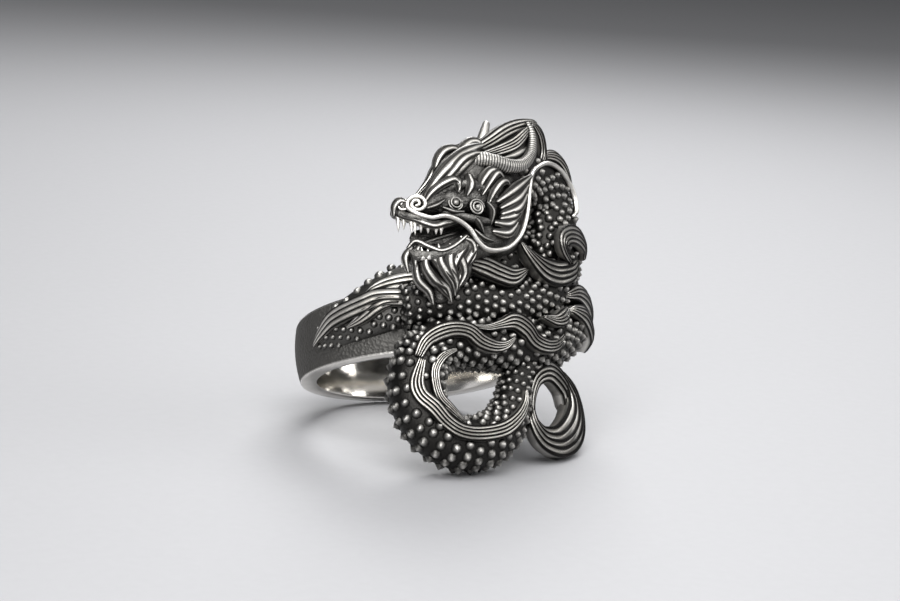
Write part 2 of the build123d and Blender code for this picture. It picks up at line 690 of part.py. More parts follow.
# At rest the ring leans back on three feet: the big loop, the tail's loop and
# the lower rim of the band behind the finger.
loop_foot = [Vector(*vertex) for vertex in loop_form.vertices()]
tail_foot = [Vector(*vertex) for shape in tail_forms for vertex in shape.vertices()]
band_foot = []
for turn in range(90, 270):
    y = -rim_radius * math.cos(math.radians(turn))
    band_foot.append(Vector(rim_radius * math.sin(math.radians(turn)), y, -half_width(y)))
up = Vector(0, -0.4, 0.9)
for _ in range(10):
    left, right, rear = lowest(loop_foot, up), lowest(tail_foot, up), lowest(band_foot, up)
    up = (right - left).cross(rear - left).normalized()
    if up.Z < 0:
        up = -up
leaning = Plane(origin=(0, 0, 0), x_dir=Vector(0, 1, 0).cross(up), z_dir=up)
lying = leaning.location.inverse() * casting.part
low_box = lying.bounding_box()
resting = Location((-low_box.center().X, -low_box.center().Y, -low_box.min.Z)) * leaning.location.inverse()

os.makedirs("parts", exist_ok=True)
with BuildPart() as dragon_ring:
    with Locations(resting):
        add(casting.part, clean=False)
dragon_ring.part.label = "dragon_ring"
export_step(dragon_ring.part, "parts/dragon_ring.step")
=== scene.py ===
import json
import math

import bpy
import numpy as np
from mathutils import Matrix, Vector


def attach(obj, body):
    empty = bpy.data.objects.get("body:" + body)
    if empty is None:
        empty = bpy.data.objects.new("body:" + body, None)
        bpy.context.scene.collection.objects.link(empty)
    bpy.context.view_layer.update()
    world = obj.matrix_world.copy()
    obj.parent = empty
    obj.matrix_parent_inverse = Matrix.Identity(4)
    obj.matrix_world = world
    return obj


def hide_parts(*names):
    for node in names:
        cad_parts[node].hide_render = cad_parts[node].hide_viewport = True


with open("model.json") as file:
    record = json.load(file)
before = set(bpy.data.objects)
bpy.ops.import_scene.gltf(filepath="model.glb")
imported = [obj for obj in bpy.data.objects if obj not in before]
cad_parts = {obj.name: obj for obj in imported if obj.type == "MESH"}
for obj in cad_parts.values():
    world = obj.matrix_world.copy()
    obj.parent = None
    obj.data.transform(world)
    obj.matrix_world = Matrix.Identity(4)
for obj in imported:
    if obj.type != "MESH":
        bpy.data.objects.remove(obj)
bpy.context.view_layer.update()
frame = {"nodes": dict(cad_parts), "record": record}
print("frame loaded:", ", ".join(sorted(frame["nodes"])))

# Millimetres. The relief is laid out in shares of faceReach sideways,
# crownHeight along the finger and reliefHeight outward from the finger hole.
ringSizes = {
    "boreDiameter": 19.0,
    "bandWall": 1.95,
    "bandWidthBack": 5.4,
    "bandWidthFront": 6.6,
    "bandCrown": 0.35,  # how far the band's middle stands over its edges
    "faceReach": 20.0,
    "crownHeight": 20.0,
    "reliefHeight": 10.0,
    "plateRadius": 28.0,  # of the curve that the relief lies on, flatter than the finger
    "normalSetback": 6.0,  # the relief faces away from a line this far behind the hole's axis
    "shoulderRise": 1.0,
}
boreRadius = ringSizes["boreDiameter"] / 2
bandRadius = boreRadius + ringSizes["bandWall"]
mm = 0.001  # in metres


def restingAxes():
    # the finger hole's axis tells how the ring leans at rest: sideways, then back
    bore = frame["record"]["mounts"][0]
    ax, ay, az = bore["axis"]
    backward = az / math.sqrt(1 - ax * ax)  # cosine of the lean back
    up = np.array((-ax * backward, -ay * backward / az, az))
    across = np.array((up[2], 0, -up[0])) / backward
    return np.array((across, np.cross(up, across), up)), np.array(bore["pos_m"])


restTurn, restPlace = restingAxes()


def toFrame(points):
    # millimetres about the finger hole to metres in the frame
    return np.asarray(points) @ restTurn.T * mm + restPlace


def facePoints(columns):
    # the relief lies on a curve that is flatter than the finger
    x = columns[:, 0] * ringSizes["faceReach"]
    surface = x * x / (2 * ringSizes["plateRadius"]) - boreRadius
    y = surface - columns[:, 2] * ringSizes["reliefHeight"]
    return np.stack((x, y, columns[:, 1] * ringSizes["crownHeight"]), axis=1)


def shoulderPoints(columns):
    # turned from the front about the finger, and raised above the band
    radius = bandRadius + columns[:, 2] * ringSizes["shoulderRise"]
    angle = np.radians(columns[:, 0])
    z = columns[:, 1] * ringSizes["crownHeight"]
    return np.stack((radius * np.sin(angle), -radius * np.cos(angle), z), axis=1)


def unit(vectors):
    return vectors / np.maximum(np.linalg.norm(vectors, axis=-1, keepdims=True), 1e-9)


def smoothRows(rows, steps=16):
    # a smooth curve through a table's rows
    table = np.array(rows, float)
    last = len(table) - 1
    places = np.linspace(0, last, last * steps + 1)
    k = np.minimum(places.astype(int), last - 1)
    t = (places - k)[:, None]
    a, b, c, d = (table[np.clip(k + shift, 0, last)] for shift in (-1, 0, 1, 2))
    return b + (c - a + (2 * a - 5 * b + 4 * c - d + (3 * b - a - 3 * c + d) * t) * t) * t / 2


def stationsAlong(rows, spacing, pointsAt=facePoints):
    # evenly spaced points, their sideways and outward directions, width, thickness and run
    fine = smoothRows(rows)
    points = pointsAt(fine)
    runs = np.concatenate(([0], np.cumsum(np.linalg.norm(np.diff(points, axis=0), axis=1))))
    count = max(3, int(round(runs[-1] / spacing)) + 1)
    wanted = np.linspace(0, runs[-1], count)
    even = np.stack([np.interp(wanted, runs, column) for column in points.T], axis=1)
    width = np.interp(wanted, runs, fine[:, 3])
    thick = np.interp(wanted, runs, fine[:, 4])
    ahead = unit(np.gradient(even, axis=0))
    away = even.copy()
    away[:, 2] = 0
    if pointsAt is facePoints:
        away[:, 1] -= ringSizes["normalSetback"]
    side = unit(np.cross(ahead, unit(away)))
    out = unit(np.cross(side, ahead))
    return even, side, out, width, thick, wanted


class Shape:
    # vertices, faces and vertex values gathered for one mesh
    def __init__(self):
        self.points = []
        self.faces = []
        self.values = {"wear": [], "ribPhase": [], "ribDepth": [], "isSeat": [], "seatScale": []}
        self.seatWays = []
        self.count = 0

    def add(self, points, faces, **values):
        points = np.asarray(points, float).reshape(-1, 3)
        self.points.append(points)
        self.faces += [tuple(self.count + corner for corner in face) for face in faces]
        for name, store in self.values.items():
            value = np.asarray(values.get(name, 0.0), float)
            store.append(np.broadcast_to(value, (len(points),)))
        self.seatWays.append(values.get("seatWays", np.tile((0.0, 0.0, 1.0), (len(points), 1))))
        self.count += len(points)

    def addRings(self, rings, firstTip, lastTip, **values):
        # closed skin through rings of points, ended by two tips
        rings = np.asarray(rings)
        rows, around = rings.shape[:2]
        faces = []
        for k in range(rows - 1):
            for i in range(around):
                j = (i + 1) % around
                faces.append((k * around + i, k * around + j, (k + 1) * around + j, (k + 1) * around + i))
        first = rows * around
        for i in range(around):
            j = (i + 1) % around
            faces.append((first, j, i))
            faces.append((first + 1, (rows - 1) * around + i, (rows - 1) * around + j))
        points = np.concatenate((rings.reshape(-1, 3), [firstTip, lastTip]))
        for name, value in values.items():
            value = np.asarray(value, float)
            if value.ndim == 2:  # a tip takes its ring's mean
                values[name] = np.concatenate((value.reshape(-1), [value[0].mean(), value[-1].mean()]))
        self.add(points, faces, **values)

    def toObject(self, name):
        mesh = bpy.data.meshes.new(name)
        mesh.from_pydata(toFrame(np.concatenate(self.points)).tolist(), [], self.faces)
        for key, store in self.values.items():
            layer = mesh.attributes.new(key, "FLOAT", "POINT")
            layer.data.foreach_set("value", np.concatenate(store).astype(np.float32))
        ways = np.concatenate(self.seatWays) @ restTurn.T
        layer = mesh.attributes.new("seatWay", "FLOAT_VECTOR", "POINT")
        layer.data.foreach_set("vector", ways.astype(np.float32).ravel())
        mesh.update()
        piece = bpy.data.objects.new(name, mesh)
        bpy.context.scene.collection.objects.link(piece)
        return piece


# What every swept form shares. A section is an outline one wide and one thick.
sweepForm = {
    "lockEdge": 0.1,  # a lock's edges lie this far above its middle line
    "lockCrown": 0.34,  # how far its top bulges over the edges
    "lockCurve": 1.9,  # at 2 the bulge would run out to nothing at the edges
    "lockDepth": 0.6,  # how deep its underside goes
    "underWear": 0.3,  # a lock's underside is rubbed this share as much as its top
    "endReach": (0.5, 0.85),  # the two rings that round an end over
    "endWidth": (0.8, 0.5),  # the ribs' share of their depth on those rings
}


def roundSection(count):
    turn = np.linspace(0, 2 * math.pi, count, endpoint=False)
    return np.stack((0.5 * np.cos(turn), 0.5 * np.sin(turn)), axis=1), None, None


def lockSection(ribs, perRib=7, under=7):
    # crowned top with the ribs' phase across it, and a plain underside
    u = np.linspace(0.5, -0.5, ribs * perRib + 1)
    edge = sweepForm["lockEdge"]
    crown = np.sqrt(1 - (sweepForm["lockCurve"] * u) ** 2)
    top = np.stack((u, edge + sweepForm["lockCrown"] * crown), axis=1)
    turn = np.linspace(math.pi, 2 * math.pi, under + 2)[1:-1]
    low = np.stack((0.5 * np.cos(turn), edge + sweepForm["lockDepth"] * np.sin(turn)), axis=1)
    phase = np.concatenate(((0.5 - u) * ribs, np.zeros(under)))
    ribbed = np.concatenate((np.ones(len(u)), np.zeros(under)))
    return np.concatenate((top, low)), phase, ribbed


def sweep(shape, rows, size, section, spacing, wear, ribDepth=0.0, tip=0.3, ringPitch=None,
          pointsAt=facePoints):
    # a form along a table's rows, its section turned outward, its ends rounded over
    outline, phase, ribbed = section
    points, side, out, width, thick, runs = stationsAlong(rows, spacing, pointsAt)
    rings = (
        points[:, None]
        + side[:, None] * (outline[None, :, :1] * (size * width)[:, None, None])
        + out[:, None] * (outline[None, :, 1:] * (size * thick)[:, None, None])
    )
    ends, tips = [], []
    for end, inner in ((0, 1), (-1, -2)):
        reach = unit(points[end] - points[inner]) * tip * size * width[end]
        spokes = rings[end] - points[end]
        ends.append([
            points[end] + spokes * math.sqrt(1 - s * s) + reach * s for s in sweepForm["endReach"]])
        tips.append(points[end] + reach)
    rings = np.concatenate((ends[0][::-1], rings, ends[1]))
    endWidth = np.array(sweepForm["endWidth"])
    depth = ribDepth * size * np.concatenate((width[0] * endWidth[::-1], width, width[-1] * endWidth))
    everywhere = rings.shape[:2]
    values = {"wear": np.full(everywhere, float(wear))}
    if phase is not None:  # ribs along the lock
        values["wear"] = wear * np.broadcast_to(np.where(ribbed > 0, 1.0, sweepForm["underWear"]), everywhere)
        values["ribPhase"] = np.broadcast_to(phase, everywhere)
        values["ribDepth"] = ribbed[None, :] * depth[:, None]
    if ringPitch:  # rings round the horn
        turns = np.concatenate(([runs[0]] * 2, runs, [runs[-1]] * 2)) / ringPitch
        values["ribPhase"] = np.broadcast_to(turns[:, None], everywhere)
        values["ribDepth"] = np.broadcast_to(depth[:, None], everywhere)
    shape.addRings(rings, *tips, **values)
    return points, size * width / 2


def linear(hexColour):
    # sRGB hex to the linear colour that a socket takes
    parts = [int(hexColour[k:k + 2], 16) / 255 for k in (0, 2, 4)]
    return [p / 12.92 if p <= 0.04045 else ((p + 0.055) / 1.055) ** 2.4 for p in parts] + [1.0]


def addNode(tree, kind, settings=None, inputs=None):
    # one node with its settings, its values and the links into it
    node = tree.nodes.new(kind)
    for key, value in (settings or {}).items():
        setattr(node, key, value)
    for key, value in (inputs or {}).items():
        if isinstance(value, bpy.types.Node):
            value = value.outputs[0]
        if isinstance(value, bpy.types.NodeSocket):
            tree.links.new(value, node.inputs[key])
        else:
            node.inputs[key].default_value = value
    return node


def newMaterial(name):
    # an empty material, its node tree and the place on the piece
    material = bpy.data.materials.new(name)
    material.use_nodes = True
    tree = material.node_tree
    tree.nodes.clear()
    return material, tree, addNode(tree, "ShaderNodeTexCoord").outputs["Object"]


def sterling(name, look):
    # silver under a black oxide, which a cloth has rubbed off wherever it reached, with painted shade in the
    # hollows and near other pieces and the floor
    material, tree, place = newMaterial(name)
    wear, stipple = (
        addNode(tree, "ShaderNodeAttribute", {"attribute_name": key}).outputs["Fac"]
        for key in ("wear", "stipple"))
    # ambient occlusion darkens the colour wherever the surroundings are close: partly the real oxide left in
    # the hollows, partly painted shade, also cast by neighbouring pieces and the floor
    recess = addNode(tree, "ShaderNodeAmbientOcclusion", {"samples": 8}, {
        "Distance": look["recessReach"] * mm})
    clearOfOxideAndShade = addNode(tree, "ShaderNodeMapRange", {"interpolation_type": "SMOOTHSTEP"}, {
        "Value": recess.outputs["AO"], "From Min": look["recessFrom"], "From Max": look["recessTo"],
        "To Min": look["recessFloor"], "To Max": 1.0})
    cloud = addNode(tree, "ShaderNodeTexNoise", {}, {
        "Vector": place, "Scale": 1 / (look["cloudSize"] * mm), "Detail": 3.0})
    # the silver is cut back there, so it shows less in painted shade as well as in oxidised hollows
    silverShare = addNode(tree, "ShaderNodeMath", {"operation": "MULTIPLY"}, {
        0: wear, 1: clearOfOxideAndShade.outputs["Result"]})
    patch = addNode(tree, "ShaderNodeMapRange", {}, {
        "Value": cloud.outputs["Fac"], "From Min": 0.3, "From Max": 0.7,  # where most of the noise lies
        "To Min": look["cloudLow"], "To Max": look["cloudHigh"]})
    bright = addNode(tree, "ShaderNodeMath", {"operation": "MULTIPLY", "use_clamp": True}, {
        0: silverShare, 1: patch.outputs["Result"]})
    colour = addNode(tree, "ShaderNodeMix", {"data_type": "RGBA"}, {
        "Factor": bright, 6: linear(look["oxide"]), 7: linear(look["silver"])})
    rough = addNode(tree, "ShaderNodeMapRange", {}, {
        "Value": bright, "To Min": look["roughOxide"], "To Max": look["roughSilver"]})
    matt = addNode(tree, "ShaderNodeMath", {"operation": "MULTIPLY_ADD", "use_clamp": True}, {
        0: stipple, 1: look["punchedMatt"], 2: rough.outputs["Result"]})
    grain = addNode(tree, "ShaderNodeTexNoise", {}, {
        "Vector": place, "Scale": 1 / (look["grainSize"] * mm), "Detail": 2.0})
    punch = addNode(tree, "ShaderNodeTexVoronoi", {}, {
        "Vector": place, "Scale": 1 / (look["punchSize"] * mm)})
    dots = addNode(tree, "ShaderNodeMath", {"operation": "MULTIPLY"}, {
        0: punch.outputs["Distance"], 1: stipple})
    height = addNode(tree, "ShaderNodeMath", {"operation": "MULTIPLY_ADD"}, {
        0: grain.outputs["Fac"], 1: look["grainShare"], 2: dots})
    bump = addNode(tree, "ShaderNodeBump", {}, {
        "Height": height, "Strength": look["bumpStrength"], "Distance": look["bumpHeight"] * mm})
    shader = addNode(tree, "ShaderNodeBsdfPrincipled", {}, {
        "Base Color": colour.outputs[2], "Metallic": 1.0, "Roughness": matt,
        "Normal": bump.outputs["Normal"]})
    addNode(tree, "ShaderNodeOutputMaterial", {}, {"Surface": shader})
    return material


# Sizes in millimetres. Grain and punch marks are drawn about twice as coarse as the
# real ones, which are too fine to show in the render.
castLook = {
    "oxide": "181716",
    "silver": "f4f1eb",
    "recessReach": 0.9,  # hollows narrower than this keep their oxide and take painted shade
    "recessFrom": 0.28,
    "recessTo": 0.58,
    "recessFloor": 0.04,
    "cloudSize": 1.6,  # patches that the cloth rubbed more or less
    "cloudLow": 0.72,
    "cloudHigh": 1.05,
    "grainSize": 0.14,
    "grainShare": 0.8,
    "punchSize": 0.24,
    "punchedMatt": 0.22,  # roughness that punching adds
    "bumpStrength": 0.6,
    "bumpHeight": 0.09,
    "roughOxide": 0.46,
    "roughSilver": 0.30,
}
# Cast and oxidised: bright rubbed crests over nearly black floors, with the mould's fine grain, and painted
# shade deepening the hollows.
castSterling = sterling("castOxidisedSterling", castLook)
# Polished: a mirror in the finger hollow and on the edges, and punched dark grey outside.
bandLook = dict(
    castLook, recessFloor=0.3, recessReach=0.6, roughSilver=0.12, cloudLow=0.9, grainShare=0.04,
    punchSize=0.3, bumpStrength=0.8, bumpHeight=0.12)
bandSterling = sterling("polishedSterling", bandLook)
# Chased by hand: a coarser, uneven ground, so the skin of the face stays dark and broken up, with its hollows
# darkened further by painted shade.
skinLook = dict(
    castLook, recessReach=1.4, recessFrom=0.35, recessTo=0.9, recessFloor=0.0, grainSize=0.16,
    grainShare=1.0, cloudSize=0.7, cloudLow=0.2, bumpStrength=1.0, bumpHeight=0.16)
skinSterling = sterling("chasedSterling", skinLook)
print("materials made")


def newTree(name, sizes):
    # a mesh in and a mesh out, with a named input for each size and one for the metal
    tree = bpy.data.node_groups.new(name, "GeometryNodeTree")
    tree.interface.new_socket("Geometry", in_out="OUTPUT", socket_type="NodeSocketGeometry")
    tree.interface.new_socket("Geometry", in_out="INPUT", socket_type="NodeSocketGeometry")
    for label, value in sizes.items():
        kind = "NodeSocketInt" if isinstance(value, int) else "NodeSocketFloat"
        tree.interface.new_socket(label, in_out="INPUT", socket_type=kind).default_value = value
    tree.interface.new_socket("Metal", in_out="INPUT", socket_type="NodeSocketMaterial")
    return tree, addNode(tree, "NodeGroupInput").outputs


def closeTree(tree, geometry, metal):
    # export drops instances, so they are made real before the metal is set
    smooth = addNode(tree, "GeometryNodeSetShadeSmooth", {}, {"Geometry": geometry})
    real = addNode(tree, "GeometryNodeRealizeInstances", {}, {"Geometry": smooth})
    dressed = addNode(tree, "GeometryNodeSetMaterial", {}, {"Geometry": real, "Material": metal})
    addNode(tree, "NodeGroupOutput", {}, {"Geometry": dressed})
    return tree


def settle(piece):
    # what the modifiers make becomes the piece's own plain mesh
    graph = bpy.context.evaluated_depsgraph_get()
    result = bpy.data.meshes.new_from_object(piece.evaluated_get(graph))
    piece.modifiers.clear()
    old = piece.data
    piece.data = result
    bpy.data.meshes.remove(old)
    result.name = piece.name
    return piece


def applyTree(piece, tree, inputs):
    # a modifier's inputs are set by the socket's identifier, not by its name
    inputs = dict(inputs, Metal=castSterling)
    modifier = piece.modifiers.new(tree.name, "NODES")
    modifier.node_group = tree
    for item in tree.interface.items_tree:
        if item.item_type == "SOCKET" and item.in_out == "INPUT" and item.name in inputs:
            modifier[item.identifier] = inputs[item.name]
    return settle(piece)


def ribTree():
    # raises sharp ribs over a form and leaves the floor between them unpolished
    tree, given = newTree("ribsAlongLocks", {
        "Rib sharpness": 1.0, "Rub starts": 0.12, "Rub full": 0.5, "Floor wear": 0.1})
    phase, depth, wear = (
        addNode(tree, "GeometryNodeInputNamedAttribute", {"data_type": "FLOAT"}, {"Name": key})
        .outputs["Attribute"] for key in ("ribPhase", "ribDepth", "wear"))
    turn = addNode(tree, "ShaderNodeMath", {"operation": "MULTIPLY"}, {0: phase, 1: math.pi})
    wave = addNode(tree, "ShaderNodeMath", {"operation": "SINE"}, {0: turn})
    fold = addNode(tree, "ShaderNodeMath", {"operation": "ABSOLUTE"}, {0: wave})
    crest = addNode(tree, "ShaderNodeMath", {"operation": "SUBTRACT"}, {0: 1.0, 1: fold})
    sharp = addNode(tree, "ShaderNodeMath", {"operation": "POWER"}, {
        0: crest, 1: given["Rib sharpness"]})
    centred = addNode(tree, "ShaderNodeMath", {"operation": "SUBTRACT"}, {0: sharp, 1: 0.5})
    rise = addNode(tree, "ShaderNodeMath", {"operation": "MULTIPLY"}, {0: centred, 1: depth})
    metres = addNode(tree, "ShaderNodeMath", {"operation": "MULTIPLY"}, {0: rise, 1: mm})
    normal = addNode(tree, "GeometryNodeInputNormal")
    offset = addNode(tree, "ShaderNodeVectorMath", {"operation": "SCALE"}, {
        0: normal, "Scale": metres})
    moved = addNode(tree, "GeometryNodeSetPosition", {}, {
        "Geometry": given["Geometry"], "Offset": offset})
    ribbed = addNode(tree, "ShaderNodeMath", {"operation": "GREATER_THAN"}, {0: depth, 1: 1e-6})
    shade = addNode(tree, "ShaderNodeMapRange", {}, {
        "Value": crest, "From Min": given["Rub starts"], "From Max": given["Rub full"],
        "To Min": given["Floor wear"], "To Max": 1.0})
    share = addNode(tree, "ShaderNodeMix", {"data_type": "FLOAT"}, {
        0: ribbed, 2: 1.0, 3: shade.outputs["Result"]})
    silverShare = addNode(tree, "ShaderNodeMath", {"operation": "MULTIPLY"}, {0: wear, 1: share})
    stored = addNode(tree, "GeometryNodeStoreNamedAttribute", {"data_type": "FLOAT", "domain": "POINT"}, {
        "Geometry": moved, "Name": "wear", "Value": silverShare})
    return closeTree(tree, stored, given["Metal"])


def beadTree():
    # sets a blunt stud on every seat of the body's skin
    tree, given = newTree("beadsOverBody", {
        "Bead radius": 0.5 * mm, "Tip width": 0.35, "Rise": 0.88, "Lowest wear": 0.1,
        "Highest wear": 0.8, "Size variation": 0.16, "Seed": 7})
    seat, size = (
        addNode(tree, "GeometryNodeInputNamedAttribute", {"data_type": "FLOAT"}, {"Name": key})
        .outputs["Attribute"] for key in ("isSeat", "seatScale"))
    chosen = addNode(tree, "FunctionNodeCompare", {"data_type": "FLOAT", "operation": "GREATER_THAN"}, {
        0: seat, 1: 0.5})
    split = addNode(tree, "GeometryNodeSeparateGeometry", {"domain": "POINT"}, {
        "Geometry": given["Geometry"], "Selection": chosen})
    ball = addNode(tree, "GeometryNodeMeshIcoSphere", {}, {"Radius": given["Bead radius"], "Subdivisions": 2})
    spot = addNode(tree, "GeometryNodeInputPosition")
    apart = addNode(tree, "ShaderNodeSeparateXYZ", {}, {0: spot})
    height = addNode(tree, "ShaderNodeMath", {"operation": "DIVIDE"}, {
        0: apart.outputs["Z"], 1: given["Bead radius"]})
    rubbed = addNode(tree, "ShaderNodeMapRange", {}, {
        "Value": height, "From Min": 0.35, "From Max": 1.0,  # a cloth misses a stud's foot
        "To Min": given["Lowest wear"], "To Max": given["Highest wear"]})
    painted = addNode(tree, "GeometryNodeStoreNamedAttribute", {"data_type": "FLOAT", "domain": "POINT"}, {
        "Geometry": ball.outputs["Mesh"], "Name": "wear", "Value": rubbed.outputs["Result"]})
    slim = addNode(tree, "ShaderNodeMapRange", {}, {
        "Value": height, "From Min": 0.0, "From Max": 1.0,
        "To Min": 1.0, "To Max": given["Tip width"]})
    stretch = addNode(tree, "ShaderNodeCombineXYZ", {}, {
        0: slim.outputs["Result"], 1: slim.outputs["Result"], 2: given["Rise"]})
    tapered = addNode(tree, "ShaderNodeVectorMath", {"operation": "MULTIPLY"}, {
        0: spot, 1: stretch})
    stud = addNode(tree, "GeometryNodeSetPosition", {}, {"Geometry": painted, "Position": tapered})
    way = addNode(tree, "GeometryNodeInputNamedAttribute", {"data_type": "FLOAT_VECTOR"}, {"Name": "seatWay"})
    turned = addNode(tree, "FunctionNodeAlignRotationToVector", {"axis": "Z"}, {
        "Vector": way.outputs["Attribute"]})
    least = addNode(tree, "ShaderNodeMath", {"operation": "SUBTRACT"}, {0: 1.0, 1: given["Size variation"]})
    chance = addNode(tree, "FunctionNodeRandomValue", {"data_type": "FLOAT"}, {
        2: least, 3: 1.0, "Seed": given["Seed"]})
    scale = addNode(tree, "ShaderNodeMath", {"operation": "MULTIPLY"}, {0: size, 1: chance.outputs[1]})
    placed = addNode(tree, "GeometryNodeInstanceOnPoints", {}, {
        "Points": split.outputs["Selection"], "Instance": stud,
        "Rotation": turned, "Scale": scale})
    # a second link into the same socket puts the studs beside the body
    joined = addNode(tree, "GeometryNodeJoinGeometry", {}, {"Geometry": split.outputs["Inverted"]})
    tree.links.new(placed.outputs[0], joined.inputs["Geometry"])
    return closeTree(tree, joined, given["Metal"])


ribs = ribTree()
beads = beadTree()
pieces = []


def finishPiece(piece):
    for polygon in piece.data.polygons:
        polygon.use_smooth = True
    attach(piece, "root")
    pieces.append(piece)
    print(piece.name, len(piece.data.polygons), "faces")


# The shank: crowned outside, straight and polished inside, narrowing to the back.
shank = {
    "around": 240,
    "crownSteps": 12,
    "stippleShare": 0.93,  # part of the outer width that is punched matt
    "outerWear": 0.11,
    "edgeRound": 0.12,
}


def halfWidth(y):
    share = (y + bandRadius) / (2 * bandRadius)
    front, back = ringSizes["bandWidthFront"], ringSizes["bandWidthBack"]
    return (front + (back - front) * share) / 2


def bandOutline(rim):
    # radius, share of the half width and inset, once round the band's section
    edge = shank["edgeRound"]
    corner = edge * 0.3  # where a rounded edge is nearest its old corner
    upper = [
        (boreRadius, 1.0, edge), (boreRadius + corner, 1.0, corner), (boreRadius + edge, 1.0, 0.0),
        (rim - edge, 1.0, 0.0), (rim - corner, 1.0, corner)]
    shares = np.linspace(1, -1, shank["crownSteps"] * 2 + 1)[1:-1]
    crown = [(rim + ringSizes["bandCrown"] * (1 - share * share), share, 0.0) for share in shares]
    lower = [(radius, -share, -inset) for radius, share, inset in reversed(upper)]
    return [(boreRadius, 0.0, 0.0)] + upper + crown + lower


def makeShank():
    rim = bandRadius - ringSizes["bandCrown"]
    outline = bandOutline(rim)
    across, around = len(outline), shank["around"]
    points, punched = [], []
    for turn in np.linspace(0, 2 * math.pi, around, endpoint=False):
        for radius, share, inset in outline:
            y = -radius * math.cos(turn)
            points.append((radius * math.sin(turn), y, halfWidth(y) * share - inset))
            punched.append(radius > rim and abs(share) < shank["stippleShare"])
    faces = []
    for k in range(around):
        following = (k + 1) % around
        for i in range(across):
            j = (i + 1) % across
            faces.append((k * across + i, following * across + i, following * across + j, k * across + j))
    shape = Shape()
    shape.add(points, faces, wear=np.where(punched, shank["outerWear"], 1.0))
    piece = shape.toObject("shank")
    layer = piece.data.attributes.new("stipple", "FLOAT", "POINT")
    layer.data.foreach_set("value", np.array(punched, np.float32))
    piece.data.materials.append(bandSterling)
    return piece


finishPiece(makeShank())

